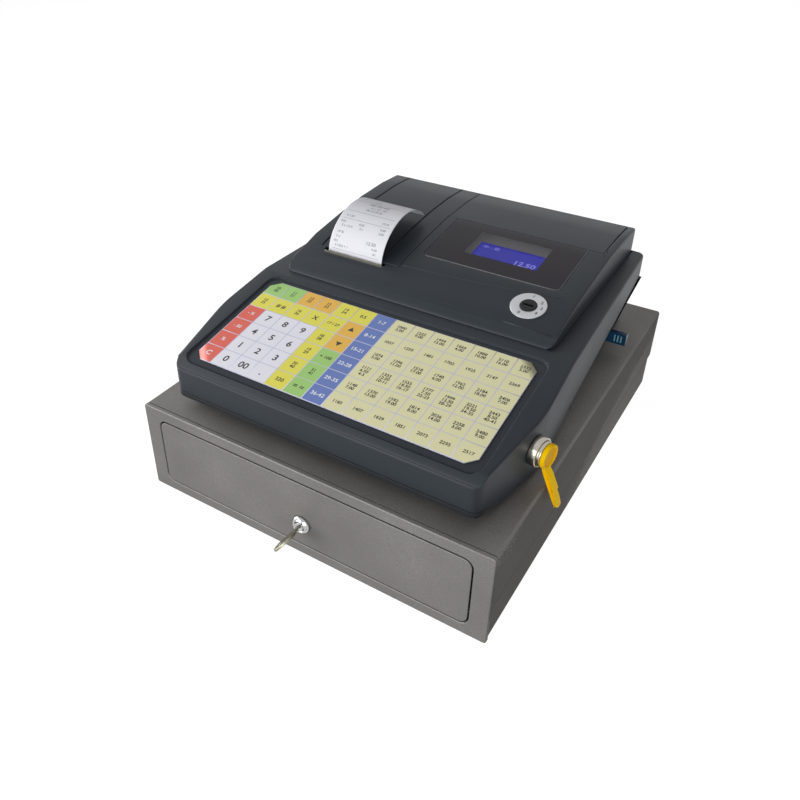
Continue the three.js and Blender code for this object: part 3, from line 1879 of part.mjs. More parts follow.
add('drawer_front_panel', frontPanel(), paint);
add('drawer_tray', drawerTray(), darkPaint);
addPair('drawer_rail', drawerRail(), zinc);
add('latch_strike', latchStrike(), zinc);
const cupTray = gridTray(coinTrayFront, coinTrayBack, coinTrayHeight, coinColumns, coinRows);
add('coin_tray', cupTray, blackPlastic);
add('note_tray', noteTray(), blackPlastic);
add('clip_rod', clipRod(), zinc);
const noteBayPitch = (insertHalfWidth + insertHalfWidth - insertWall) / noteColumns;
for (let i = 0; i < noteColumns; i += 1) {
  const clip = mesh(`note_clip_${i + 1}`, noteClip(), zinc);
  clip.position.set((i - (noteColumns - 1) / 2) * noteBayPitch, clipRodY, clipRodZ);
  register.add(clip);
}

const lockGroup = groupIn(frameAt(0, 0, lockZ, turnX(outward)));
lockGroup.add(mesh('drawer_lock', drawerLock(), chrome));
lockGroup.add(mesh('lock_plug', lockPlug(), nickel));
const keyMesh = mesh('drawer_key', drawerKey(), nickel);
keyMesh.rotation.z = THREE.MathUtils.degToRad(-plugTurn);
lockGroup.add(keyMesh);

const hook = mesh('latch_hook', latchHook(), zinc);
hook.position.set(latchPivotX, latchPivotY, latchZ);
hook.rotation.z = THREE.MathUtils.degToRad(latchRelease);
register.add(hook);
add('solenoid_yoke', solenoidYoke(), zinc);
add('solenoid_coil', solenoidCoil(), copper);
add('solenoid_plunger', solenoidPlunger(), iron);
add('eject_spring', ejectSpring(), zinc);

add('lower_case', lowerCase(), darkAbs);
add('upper_case', upperCase(), abs);
add('top_housing', topHousing(), abs);
add('rear_panel', rearPanel(), abs);
add('printer_flap', printerFlap(), abs);
add('flap_hinge_pin', flapPin(), zinc);
lowerFootPlaces().forEach(([x, y], i) => {
  const foot = mesh(`register_foot_${i + 1}`, registerFoot(), rubber);
  foot.position.set(x, y, drawerTop);
  register.add(foot);
});

const keyboard = groupIn(keyboardFrame);
const sheetBottom = -sheetDepth - sheetThickness;
const membraneBottom = -recessDepth + seatGap;
keyboard.add(mesh('legend_sheet', chamferedSheet(0, sheetBottom, -sheetDepth), legend));
keyboard.add(mesh(
  'membrane_switch',
  chamferedSheet(0, membraneBottom, sheetBottom - seatGap),
  film,
));
const keyPlateTop = -keyPlateDrop;
keyboard.add(mesh(
  'keyboard_plate',
  keyboardRectangle(
    keyPlateMargin - ledgeWidth,
    recessCornerRadius,
    keyPlateTop - keyPlateThickness,
    keyPlateTop,
  ).add(keyboardRectangle(
    -ledgeWidth - seatGap,
    recessCornerRadius,
    keyPlateTop - keyPlateThickness,
    membraneBottom - seatGap,
  )),
  zinc,
));

add('display_window', displayWindow(), gloss);
const lcd = groupIn(lcdPlace);
lcd.add(mesh('lcd_frame', lcdFrame(), lcdGrey));
lcd.add(mesh('lcd_glass', lcdGlass(), lcdBlue));

add('printer_chassis', printerChassis(), blackPlastic);
add('paper_roll', paperRoll(), paper);
add('receipt_paper', receiptPaper(), paper);
add('platen_roller', platenRoller(), rubber);
add('thermal_head', thermalHead(), silverPlate);
const bar = mesh('tear_bar', tearBar(), silverPlate);
const barY = flapFrontY - slotLength - slideGap - tearBarTooth;
bar.position.set(paperCentreX, barY, heightAt(blockLine, barY));
bar.rotation.x = THREE.MathUtils.degToRad(blockSlope);
register.add(bar);

const modeLock = groupIn(modeLockFrame);
modeLock.add(mesh('mode_lock_ring', modeRing(), silverPlate));
modeLock.add(mesh('mode_lock_barrel', modeBarrel(), blackPlastic));
modeLock.add(mesh('mode_lock_rotor', modeRotor(), blackPlastic));

const waiter = groupIn(waiterFrame);
waiter.add(mesh('waiter_lock', waiterLock(), chrome));
waiter.add(mesh('waiter_key_magnet', keyMagnet(), chrome));
waiter.add(mesh('waiter_key', waiterKey(), yellowPlastic));

add('memory_stick', memoryStick(), bluePlastic);
add('main_board', mainBoard(), greenBoard);
add('power_transformer', powerTransformer(), iron);
add('mains_inlet', mainsInlet(), blackPlastic);

// The origin is under the middle of the overall box.
const bounds = new THREE.Box3().setFromObject(register, true);
const centre = bounds.getCenter(new THREE.Vector3());
register.position.set(-centre.x, -centre.y, -bounds.min.z);

const model = new THREE.Group();
model.add(register);

export default model;
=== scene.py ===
"""A ticket register on its cash drawer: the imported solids, dressed for a still picture.

Sizes are in millimetres from the register's own datum, which is the floor under the
middle of the drawer's front: X to the right, Y to the back, Z up. Angles are in degrees.
"""
import json
import math

import bmesh
import bpy
from mathutils import Matrix, Vector
from mathutils.bvhtree import BVHTree

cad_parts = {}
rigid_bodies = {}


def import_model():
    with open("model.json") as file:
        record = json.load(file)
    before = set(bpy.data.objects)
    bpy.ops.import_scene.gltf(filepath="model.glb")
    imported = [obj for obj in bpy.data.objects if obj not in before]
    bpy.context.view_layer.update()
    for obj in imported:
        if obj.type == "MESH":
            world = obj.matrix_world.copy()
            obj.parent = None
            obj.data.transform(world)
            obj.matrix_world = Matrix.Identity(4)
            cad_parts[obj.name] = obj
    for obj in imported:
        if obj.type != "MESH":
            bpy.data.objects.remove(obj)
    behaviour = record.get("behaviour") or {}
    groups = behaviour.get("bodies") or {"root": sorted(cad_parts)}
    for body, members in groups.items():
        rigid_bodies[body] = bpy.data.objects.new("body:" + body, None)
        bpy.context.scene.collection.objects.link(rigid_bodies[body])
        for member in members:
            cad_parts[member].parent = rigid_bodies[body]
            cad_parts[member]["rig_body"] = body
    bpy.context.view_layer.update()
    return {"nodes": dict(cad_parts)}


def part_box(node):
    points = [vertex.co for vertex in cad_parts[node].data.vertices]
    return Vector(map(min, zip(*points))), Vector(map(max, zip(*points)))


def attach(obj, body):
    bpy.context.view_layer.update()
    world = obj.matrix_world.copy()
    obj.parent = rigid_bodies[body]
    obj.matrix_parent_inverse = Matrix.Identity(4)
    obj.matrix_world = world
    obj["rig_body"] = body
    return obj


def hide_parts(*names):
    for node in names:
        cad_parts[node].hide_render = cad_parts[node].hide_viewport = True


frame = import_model()

# The drawer's front frame fixes the datum in the frame's metres.
MM = 0.001
front_low, front_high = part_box("drawer_front_frame")
DATUM = Vector(((front_low.x + front_high.x) / 2, front_low.y, 0))
PLACE = Matrix.Translation(DATUM) @ Matrix.Scale(MM, 4)


def linear(code):
    """An sRGB hex colour as linear red, green, blue and alpha."""
    parts = [int(code[i:i + 2], 16) / 255 for i in (1, 3, 5)]
    return [c / 12.92 if c <= 0.04045 else ((c + 0.055) / 1.055) ** 2.4 for c in parts] + [1]


def add(tree, kind, inputs=None, **settings):
    """Adds a node, sets its properties, and links or sets its inputs."""
    node = tree.nodes.new(kind)
    for key, value in settings.items():
        setattr(node, key, value)
    for key, value in (inputs or {}).items():
        if isinstance(value, bpy.types.NodeSocket):
            tree.links.new(value, node.inputs[key])
        else:
            node.inputs[key].default_value = value
    return node


def per_metre(size):
    """The scale of a pattern whose features are size millimetres wide."""
    return 1 / (size * MM)


# Finishes

# Widths of the features in their patterns.
PAINT_CLOUD = 60
PAINT_RIPPLE = 1.1
HANDLING_CLOUD = 45
FLOW_MARK = 9
MOULD_RIPPLE = 0.9
INK_DOT = 0.8
INK_CLOUD = 30
GLOW_CLOUD = 25
WIPE_MARK = 14
PAPER_FIBRE = 1.6


def finish(name):
    """An empty material, its tree and the object coordinates that its patterns read."""
    made = bpy.data.materials.new(name)
    made.use_nodes = True
    made.node_tree.nodes.clear()
    place = add(made.node_tree, "ShaderNodeTexCoord").outputs["Object"]
    return made, made.node_tree, place


def close(made, shader):
    """Links the last shader to the material's output."""
    add(made.node_tree, "ShaderNodeOutputMaterial", {"Surface": shader.outputs[0]})
    return made


# Flakes that lie in a matt binder reflect little at a grazing angle.
EDGE_TINT = 0.08


def powder_coat(name, colour, flake, grain, metal, rough):
    """Powder coat over steel: fine flakes catch the light and the skin is slightly rippled.

    Real flakes are about 0.05 mm wide; they are drawn coarser so that they show."""
    made, tree, place = finish(name)
    flakes = add(tree, "ShaderNodeTexVoronoi", {"Vector": place, "Scale": per_metre(grain)})
    cloud = add(tree, "ShaderNodeTexNoise", {
        "Vector": place, "Scale": per_metre(PAINT_CLOUD), "Detail": 2})
    spread = add(tree, "ShaderNodeMix", {
        "Factor": flakes.outputs["Color"], "A": linear(colour), "B": linear(flake)},
        data_type="RGBA")
    tint = add(tree, "ShaderNodeMix", {
        "Factor": cloud.outputs[0], "A": spread.outputs["Result"], "B": linear(colour)},
        data_type="RGBA")
    ripple = add(tree, "ShaderNodeTexNoise", {
        "Vector": place, "Scale": per_metre(PAINT_RIPPLE), "Detail": 3})
    bump = add(tree, "ShaderNodeBump", {
        "Height": ripple.outputs[0], "Strength": 0.13, "Distance": 0.06 * MM})
    gloss = add(tree, "ShaderNodeMapRange", {
        "Value": ripple.outputs[0], "To Min": rough - 0.04, "To Max": rough + 0.05})
    return close(made, add(tree, "ShaderNodeBsdfPrincipled", {
        "Base Color": tint.outputs["Result"], "Metallic": metal, "Roughness": gloss.outputs[0],
        "Specular IOR Level": 0.12, "Specular Tint": (EDGE_TINT, EDGE_TINT, EDGE_TINT, 1),
        "Normal": bump.outputs[0]}))


def grained_plastic(name, colour, worn, grain, depth, rough):
    """Moulded plastic with a spark-eroded grain: satin, and a little paler where it is handled.

    The real grain is about 0.1 mm wide; it is drawn coarser so that it shows."""
    made, tree, place = finish(name)
    texture = add(tree, "ShaderNodeTexNoise", {
        "Vector": place, "Scale": per_metre(grain), "Detail": 2})
    cloud = add(tree, "ShaderNodeTexNoise", {
        "Vector": place, "Scale": per_metre(HANDLING_CLOUD), "Detail": 3})
    tint = add(tree, "ShaderNodeMix", {
        "Factor": cloud.outputs[0], "A": linear(colour), "B": linear(worn)}, data_type="RGBA")
    bump = add(tree, "ShaderNodeBump", {
        "Height": texture.outputs[0], "Strength": 0.3, "Distance": depth * MM})
    gloss = add(tree, "ShaderNodeMapRange", {
        "Value": cloud.outputs[0], "To Min": rough - 0.05, "To Max": rough + 0.05})
    return close(made, add(tree, "ShaderNodeBsdfPrincipled", {
        "Base Color": tint.outputs["Result"], "Roughness": gloss.outputs[0], "IOR": 1.53,
        "Specular IOR Level": 0.2, "Normal": bump.outputs[0]}))


def plated(name, colour, stain, rough, spread, grain):
    """Plated metal: clouded by handling, with faint marks left by polishing or pressing."""
    made, tree, place = finish(name)
    cloud = add(tree, "ShaderNodeTexNoise", {
        "Vector": place, "Scale": per_metre(grain), "Detail": 4})
    tint = add(tree, "ShaderNodeMix", {
        "Factor": cloud.outputs[0], "A": linear(colour), "B": linear(stain)}, data_type="RGBA")
    gloss = add(tree, "ShaderNodeMapRange", {
        "Value": cloud.outputs[0], "To Min": rough, "To Max": rough + spread})
    return close(made, add(tree, "ShaderNodeBsdfPrincipled", {
        "Base Color": tint.outputs["Result"], "Metallic": 1, "Roughness": gloss.outputs[0]}))


def smooth_plastic(name, colour, shade, rough, shine=0.5, painted_glow=0.0):
    """Smooth moulded plastic: flow marks change its colour a little, the skin stays glossy.

    A slight glow of its own colour is painted light: it lifts the faces that the lamps leave in
    shade."""
    made, tree, place = finish(name)
    flow = add(tree, "ShaderNodeTexNoise", {
        "Vector": place, "Scale": per_metre(FLOW_MARK), "Detail": 2})
    tint = add(tree, "ShaderNodeMix", {
        "Factor": flow.outputs[0], "A": linear(colour), "B": linear(shade)}, data_type="RGBA")
    skin = add(tree, "ShaderNodeTexNoise", {"Vector": place, "Scale": per_metre(MOULD_RIPPLE)})
    bump = add(tree, "ShaderNodeBump", {
        "Height": skin.outputs[0], "Strength": 0.12, "Distance": 0.03 * MM})
    return close(made, add(tree, "ShaderNodeBsdfPrincipled", {
        "Base Color": tint.outputs["Result"], "Roughness": rough, "IOR": 1.5,
        "Specular IOR Level": shine, "Emission Color": linear(colour),
        "Emission Strength": painted_glow, "Normal": bump.outputs[0]}))


def printed_film(name, ink):
    """Screen-printed polyester film: flat ink with a fine dot, under a satin face.

    The real dot is about 0.1 mm wide; it is drawn coarser so that it shows."""
    made, tree, place = finish(name)
    dots = add(tree, "ShaderNodeTexNoise", {
        "Vector": place, "Scale": per_metre(INK_DOT), "Detail": 1})
    cloud = add(tree, "ShaderNodeTexNoise", {"Vector": place, "Scale": per_metre(INK_CLOUD)})
    fade = add(tree, "ShaderNodeMapRange", {
        "Value": dots.outputs[0], "To Min": 0.95, "To Max": 1.05})
    tint = add(tree, "ShaderNodeHueSaturation", {"Value": fade.outputs[0], "Color": linear(ink)})
    gloss = add(tree, "ShaderNodeMapRange", {
        "Value": cloud.outputs[0], "To Min": 0.36, "To Max": 0.46})
    return close(made, add(tree, "ShaderNodeBsdfPrincipled", {
        "Base Color": tint.outputs[0], "Roughness": gloss.outputs[0], "IOR": 1.5}))


def lit_panel(name, colour, glow, strength):
    """Backlit liquid crystal: the light behind the glass is a little uneven. On the bezel and the
    grey mask the glow is painted light.
    """
    made, tree, place = finish(name)
    cloud = add(tree, "ShaderNodeTexNoise", {"Vector": place, "Scale": per_metre(GLOW_CLOUD)})
    light = add(tree, "ShaderNodeMapRange", {
        "Value": cloud.outputs[0], "To Min": strength * 0.8, "To Max": strength * 1.2})
    return close(made, add(tree, "ShaderNodeBsdfPrincipled", {
        "Base Color": linear(colour), "Roughness": 0.22, "Emission Color": linear(glow),
        "Emission Strength": light.outputs[0]}))


def smoked_acrylic(name, colour, opacity, shine=0.18):
    """Polished acrylic: brown-black and glossy, with fine wiping marks, clear where unprinted."""
    made, tree, place = finish(name)
    wipes = add(tree, "ShaderNodeTexNoise", {
        "Vector": place, "Scale": per_metre(WIPE_MARK), "Detail": 5})
    gloss = add(tree, "ShaderNodeMapRange", {
        "Value": wipes.outputs[0], "To Min": 0.06, "To Max": 0.17})
    return close(made, add(tree, "ShaderNodeBsdfPrincipled", {
        "Base Color": linear(colour), "Roughness": gloss.outputs[0], "IOR": 1.49,
        "Specular IOR Level": shine, "Alpha": opacity}))


def paper_sheet(name, colour, shade):
    """Thermal paper: smooth, nearly matt, with a faint cloud of fibres."""
    made, tree, place = finish(name)
    fibres = add(tree, "ShaderNodeTexNoise", {
        "Vector": place, "Scale": per_metre(PAPER_FIBRE), "Detail": 5})
    tint = add(tree, "ShaderNodeMix", {
        "Factor": fibres.outputs[0], "A": linear(colour), "B": linear(shade)}, data_type="RGBA")
    bump = add(tree, "ShaderNodeBump", {
        "Height": fibres.outputs[0], "Strength": 0.15, "Distance": 0.04 * MM})
    return close(made, add(tree, "ShaderNodeBsdfPrincipled", {
        "Base Color": tint.outputs["Result"], "Roughness": 0.62, "Normal": bump.outputs[0]}))


def wound_wire(name, colour, gap, pitch):
    """Enamelled copper wire: each turn shows as a shiny ridge across the coil."""
    made, tree, place = finish(name)
    turns = add(tree, "ShaderNodeTexWave", {"Vector": place, "Scale": per_metre(pitch) / math.tau},
                bands_direction="X", wave_profile="SIN")
    tint = add(tree, "ShaderNodeMix", {
        "Factor": turns.outputs["Fac"], "A": linear(gap), "B": linear(colour)}, data_type="RGBA")
    bump = add(tree, "ShaderNodeBump", {"Height": turns.outputs["Fac"], "Distance": 0.3 * MM})
    return close(made, add(tree, "ShaderNodeBsdfPrincipled", {
        "Base Color": tint.outputs["Result"], "Roughness": 0.3, "Metallic": 0.6,
        "Normal": bump.outputs[0]}))


# Painted steel
PAINT = powder_coat("metallic_grey_powder_coat", "#706e6c", "#9a9895",
                    grain=0.5, metal=0.55, rough=0.5)
DARK_PAINT = powder_coat("dark_grey_powder_coat", "#3a3a39", "#4a4a49",
                         grain=0.5, metal=0.2, rough=0.5)

# Grained mouldings
ABS = grained_plastic("grained_anthracite_abs", "#23292f", "#282e34",
                      grain=0.6, depth=0.05, rough=0.42)
DARK_ABS = grained_plastic("grained_black_abs", "#1d2023", "#222529",
                           grain=0.6, depth=0.05, rough=0.45)
BLACK_PLASTIC = grained_plastic("moulded_black_polystyrene", "#141517", "#1b1c1e",
                                grain=1.0, depth=0.04, rough=0.4)
# The black rubber also serves as painted shade on the drawer cover's lowest strip.
RUBBER_AND_SEAM_SHADE = grained_plastic("black_rubber_and_seam_shade", "#151515", "#1e1d1c",
                         grain=1.4, depth=0.08, rough=0.8)

# Bare and plated metal
ZINC = plated("zinc_plated_steel", "#a9abad", "#8d9093", rough=0.32, spread=0.2, grain=5)
CHROME = plated("polished_chrome", "#c2c3c5", "#a2a2a2", rough=0.06, spread=0.1, grain=4)
LOCK_NICKEL = plated("turned_nickel", "#c0bbb1", "#9a9488", rough=0.12, spread=0.14, grain=4)
NICKEL = plated("worn_nickel", "#9c998a", "#77745f", rough=0.24, spread=0.2, grain=3)
IRON = plated("bare_laminated_iron", "#5d5f62", "#46484b", rough=0.45, spread=0.15, grain=4)
SILVER = plated("satin_anodised_aluminium", "#b9bbbd", "#abadb0",
                rough=0.42, spread=0.1, grain=12)
CUTTER = plated("rolled_steel_strip", "#66645c", "#504e48", rough=0.4, spread=0.15, grain=2)
COPPER = wound_wire("enamelled_copper_wire", "#b46a32", "#3b1f0d", pitch=0.9)

# Smooth mouldings
# The yellow nylon glows a little: painted light that brightens its faces turned away from the
# lamps.
YELLOW = smooth_plastic("moulded_yellow_nylon", "#ffd200", "#ffc800",
                        rough=0.4, shine=0.08, painted_glow=0.13)
# The key's sunk face is a darker yellow.
YELLOW_FACE = smooth_plastic("darker_yellow_nylon", "#f4b800", "#e8aa00",
                             rough=0.45, shine=0.08, painted_glow=0.13)
BLUE = smooth_plastic("moulded_blue_polycarbonate", "#15415f", "#10344d", rough=0.22)
BOARD = smooth_plastic("lacquered_circuit_board", "#2c5a3a", "#244c31", rough=0.25)
SWITCH_FILM = smooth_plastic("clear_polyester_film", "#c9cbd4", "#bfc1cb", rough=0.3)

# The display
# The bezel and the grey mask round the glass glow too: painted light for the light that the lamps
# don't bring under the window.
LCD_FRAME = lit_panel("grey_bezel_painted_glow", "#77777a", "#8a8a8e", strength=0.3)
LCD_GLASS = lit_panel("backlit_blue_glass", "#101068", "#2828bc", strength=0.8)
LCD_MASK = lit_panel("grey_display_mask_painted_glow", "#77777a", "#8a8a8e", strength=0.3)
LCD_MARKS = lit_panel("lit_display_marks", "#8f8de6", "#8b89ea", strength=0.9)
WINDOW = smoked_acrylic("smoked_acrylic", "#1a141f", opacity=1)
# The paler acrylic on the window's soft edges is a painted highlight along its rim.
WINDOW_EDGE = smoked_acrylic("acrylic_edge_painted_highlight", "#39363c", opacity=1, shine=1)
WINDOW_CLEAR = smoked_acrylic("clear_smoked_acrylic", "#2a272c", opacity=0.22)

# Paper and print
PAPER = paper_sheet("thermal_paper", "#d8d8de", "#cfcfd7")
PAPER_PRINT = printed_film("thermal_print", "#83838c")
BLUE_LABEL = printed_film("pale_blue_label", "#7fb0c4")
BLACK_INK = printed_film("black_ink", "#262624")
WHITE_INK = printed_film("white_ink", "#e8ecf6")
GRID_INK = printed_film("lavender_grid_ink", "#c4c4dc")
KEY_INKS = {
    "c": printed_film("cream_key_ink", "#e2dfb2"),
    "w": printed_film("white_key_ink", "#e9e8f2"),
    "r": printed_film("red_key_ink", "#dc6556"),
    "y": printed_film("yellow_key_ink", "#e4dd58"),
    "g": printed_film("green_key_ink", "#9fcc74"),
    "o": printed_film("orange_key_ink", "#e8b850"),
    "b": printed_film("blue_key_ink", "#667cba"),
}


# Making pieces

UP = (0, 0, 1)
SHARP_ANGLE = 32
BEVEL_WEIGHT = "bevel_weight_edge"
# A node's points closer than this are one, and its faces flatter than this are one.
MERGE_GAP = 0.003
FLAT_ANGLE = 0.6
# Turned points closer than this are one.
AXIS_GAP = 0.001
# A point this near to an edge is on it.
NEAR = 0.05
# A rim lies between a wall and a top: how far their normals point up or down.
WALL_RISE = 0.5
TOP_RISE = 0.7
RIM_SEGMENTS = 4


def turn(angle, axis):
    """A turn about one of the three axes."""
    return Matrix.Rotation(math.radians(angle), 4, axis)


def place_piece(name, bm, finishes, node, replaced=True, sharp=SHARP_ANGLE):
    """Puts a mesh drawn in millimetres in place, on the body that carries the node."""
    for edge in bm.edges:
        folded = edge.is_manifold and edge.calc_face_angle(0) > math.radians(sharp)
        edge.smooth = edge.smooth and not folded
    for face in bm.faces:
        face.smooth = True
    bmesh.ops.transform(bm, matrix=PLACE, verts=bm.verts)
    mesh = bpy.data.meshes.new(name)
    bm.to_mesh(mesh)
    bm.free()
    for made in finishes:
        mesh.materials.append(made)
    piece = bpy.data.objects.new(name, mesh)
    bpy.context.scene.collection.objects.link(piece)
    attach(piece, frame["nodes"][node]["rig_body"])
    if replaced:
        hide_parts(node)
    return piece


def soften(piece, width, segments=2, angle=SHARP_ANGLE):
    """Rounds the edges of a piece and keeps its flats flat."""
    bevel = piece.modifiers.new("soft_edges", "BEVEL")
    bevel.width = width * MM
    bevel.segments = segments
    bevel.limit_method = "WEIGHT" if BEVEL_WEIGHT in piece.data.attributes else "ANGLE"
    bevel.angle_limit = math.radians(angle)
    bevel.use_clamp_overlap = False
    bevel.harden_normals = True
    return bevel


def thicken(piece, thickness):
    """Gives a sheet its thickness below the face that shows."""
    sheet = piece.modifiers.new("thickness", "SOLIDIFY")
    sheet.thickness = thickness * MM
    sheet.offset = -1


def merged(node):
    """A copy of a node's solid in millimetres, its triangles joined into whole faces."""
    bm = bmesh.new()
    bm.from_mesh(frame["nodes"][node].data)
    bmesh.ops.transform(bm, matrix=PLACE.inverted(), verts=bm.verts)
    bmesh.ops.remove_doubles(bm, verts=bm.verts, dist=MERGE_GAP)
    bmesh.ops.dissolve_limit(bm, angle_limit=math.radians(FLAT_ANGLE), verts=bm.verts,
                             edges=bm.edges)
    for face in bm.faces:
        face.material_index = 0
    return bm


def cut(bm, point, normal, clear_outer=False):
    """Cuts a mesh along a plane; clear_outer takes off what lies in front of it."""
    bmesh.ops.bisect_plane(bm, geom=bm.verts[:] + bm.edges[:] + bm.faces[:], plane_co=point,
                           plane_no=normal, clear_outer=clear_outer)


def round_rim(bm, radius, on_rim):
    """Rounds the edges between the top and the sides where on_rim says so."""
    rim = []
    for edge in bm.edges:
        if len(edge.link_faces) != 2 or not all(on_rim(v.co) for v in edge.verts):
            continue
        rises = sorted(abs(face.normal.z) for face in edge.link_faces)
        if rises[0] < WALL_RISE and rises[1] > TOP_RISE:
            rim.append(edge)
    bmesh.ops.bevel(bm, geom=rim, offset=radius, segments=RIM_SEGMENTS, profile=0.5,
                    affect="EDGES", material=-1, clamp_overlap=False)


def weigh_edges(bm, too_thin):
    """Marks the edges to soften: the sharp ones, apart from those of a web too thin for it."""
    weight = bm.edges.layers.float.new(BEVEL_WEIGHT)
    for edge in bm.edges:
        sharp = edge.is_manifold and edge.calc_face_angle(0) > math.radians(SHARP_ANGLE)
        edge[weight] = float(sharp and not all(too_thin(v.co) for v in edge.verts))


def dress(node, made, slot, edge=0.4, segments=2, rim=None, too_thin=None, reshape=None):
    """A finished copy of a node, with soft edges, that stands for it."""
    bm = merged(node)
    if reshape:
        reshape(bm)
    if rim:
        round_rim(bm, *rim)
    if too_thin:
        weigh_edges(bm, too_thin)
    piece = place_piece(node + "_skin", bm, [made], node)
    if edge:
        soften(piece, edge, segments)


RANK_POINTS = 4


def settle(bm):
    """Puts edges and faces in the order of their points, so that every run is the same."""
    bm.verts.index_update()
    count = len(bm.verts)

    def rank(part):
        """One number made of the lowest points of an edge or a face."""
        number = 0
        for point in sorted(v.index for v in part.verts)[:RANK_POINTS]:
            number = number * count + point
        return number

    bm.edges.sort(key=rank)
    bm.faces.sort(key=rank)


def turned(bm, outline, matrix, steps=64, finish_index=0):
    """Adds a shape turned about its own Z axis: outline is radius and height, axis to axis."""
    old_verts = set(bm.verts)
    line = [bm.verts.new((radius, 0, height)) for radius, height in outline]
    edges = [bm.edges.new(pair) for pair in zip(line, line[1:])]
    bmesh.ops.spin(bm, geom=line + edges, cent=(0, 0, 0), axis=UP, dvec=(0, 0, 0),
                   angle=math.tau, steps=steps, use_merge=True, use_duplicate=False)
    settle(bm)
    fresh = [v for v in bm.verts if v not in old_verts]
    bmesh.ops.remove_doubles(bm, verts=fresh, dist=AXIS_GAP)
    fresh = [v for v in bm.verts if v not in old_verts]
    faces = [face for face in bm.faces if face.verts[0] not in old_verts]
    for face in faces:
        face.material_index = finish_index
    bmesh.ops.recalc_face_normals(bm, faces=faces)
    bmesh.ops.transform(bm, matrix=matrix, verts=fresh)


LINE_SPACE = 0.9
STROKE = 0.02


def figures(bm, words, size, matrix, finish_index=0, bend=None):
    """Adds flat printed figures, centred on the matrix's origin; bend maps each point."""
    curve = bpy.data.curves.new("figures", "FONT")
    curve.body = words
    curve.size = size
    curve.offset = size * STROKE
    curve.space_line = LINE_SPACE
    curve.align_x = "CENTER"
    curve.align_y = "CENTER"
    curve.resolution_u = 3
    holder = bpy.data.objects.new("figures", curve)
    mesh = bpy.data.meshes.new_from_object(holder)
    mesh.transform(matrix)
    if bend:
        for vertex in mesh.vertices:
            vertex.co = bend(vertex.co)
    before = len(bm.faces)
    bm.from_mesh(mesh)
    bm.faces.ensure_lookup_table()
    for face in bm.faces[before:]:
        face.material_index = finish_index
    bpy.data.objects.remove(holder)
    bpy.data.curves.remove(curve)
    bpy.data.meshes.remove(mesh)


# The drawer

# Below this height the cover's side is black: painted shade for the seam's shadow.
SEAM_SHADE_TOP = 39.4
COVER_JOINT = (3, 6)


def on_cover_joint(co):
    """The lap between the cover and the front frame, as thin as the sheet."""
    return COVER_JOINT[0] < co.y < COVER_JOINT[1]


def top_cover():
    """The housing's cover: its hem laps over the base pan, and its lowest strip is black as
    painted shade of the seam.
    """
    bm = merged("drawer_top_cover")
    cut(bm, (0, 0, SEAM_SHADE_TOP), UP)
    # The lowest strip takes the black rubber finish, as painted shade of the seam.
    for face in bm.faces:
        face.material_index = int(face.calc_center_median().z < SEAM_SHADE_TOP)
    weigh_edges(bm, on_cover_joint)
    piece = place_piece("drawer_top_cover_skin", bm, [PAINT, RUBBER_AND_SEAM_SHADE],
                        "drawer_top_cover")
    soften(piece, 0.7, segments=3)


LOCK_HEIGHT = 37
LOCK_OUTLINE = [
    (4.3, 3.4), (4.3, -16), (7, -16), (7, 0.3), (8.4, 0.3), (8.4, 1.2), (8.25, 1.9), (7.7, 2.7),
    (7, 3.4), (6.2, 4.1), (5.7, 4.4), (5.3, 4.5), (5.1, 4.4), (4.9, 3.9), (4.3, 3.4),
]


def drawer_lock():
    """The drawer's chrome lock: a domed ring with a dark groove round the turning plug."""
    bm = bmesh.new()
    outward = Vector((0, -1, 0)).to_track_quat("Z", "Y").to_matrix().to_4x4()
    turned(bm, LOCK_OUTLINE, Matrix.Translation((0, 0, LOCK_HEIGHT)) @ outward)
    place_piece("drawer_lock_ring", bm, [CHROME], "drawer_lock", sharp=45)


top_cover()
dress("drawer_front_frame", PAINT, "paint", edge=1.0, segments=3, too_thin=on_cover_joint)
drawer_lock()
# Parts with their finish, their slot, and the width and segments of their soft edges.
DRAWER_PARTS = (
    ("drawer_base_pan", PAINT, "dark", 0.4, 2), ("drawer_front_panel", PAINT, "paint", 0.6, 3),
    ("drawer_tray", DARK_PAINT, "dark", 0.3, 2), ("coin_tray", BLACK_PLASTIC, "black", 0.4, 2),
    ("note_tray", BLACK_PLASTIC, "black", 0.4, 2), ("clip_rod", ZINC, "zinc", 0.2, 2),
    ("note_clip_1", ZINC, "zinc", 0.2, 2), ("note_clip_2", ZINC, "zinc", 0.2, 2),
    ("note_clip_3", ZINC, "zinc", 0.2, 2), ("left_case_rail", ZINC, "zinc", 0.2, 2),
    ("left_drawer_rail", ZINC, "zinc", 0.2, 2), ("right_case_rail", ZINC, "zinc", 0.2, 2),
    ("right_drawer_rail", ZINC, "zinc", 0.2, 2), ("latch_strike", ZINC, "zinc", 0.2, 2),
    ("latch_hook", ZINC, "zinc", 0.15, 2), ("solenoid_yoke", ZINC, "zinc", 0.15, 2),
    ("solenoid_coil", COPPER, "copper", 0.15, 2), ("solenoid_plunger", IRON, "iron", 0.15, 2),
    ("eject_spring", ZINC, "zinc", 0.15, 2), ("lock_plug", CHROME, "nickel", 0.25, 3),
    ("drawer_key", NICKEL, "nickel", 0.55, 3),
)
for part in DRAWER_PARTS:
    dress(*part)


# The register's casing

# Where the rims lie, as limits to the side, the front and below, and how round they are.
CASE_RIM, CASE_ROUND = (139, 26, 120), 2.4
BLOCK_RIM, BLOCK_ROUND = (124, 172, 158), 2
WEB_SIDES, WEB_FRONT = (-33, -27), 292
# The opening under the window, and the sloping ledge above its lower edges.
OPENING_LEFT, OPENING_RIGHT, LEFT_EDGE = 12, 83, 13
OPENING_FRONT, OPENING_BACK, BACK_EDGE = 242.5, 282.5, 281
OPENING_LOW, OPENING_HIGH = 177, 186
LEDGE_HEIGHT, LEDGE_FRONT, LEDGE_SLOPE = 178.7, 243, 0.155
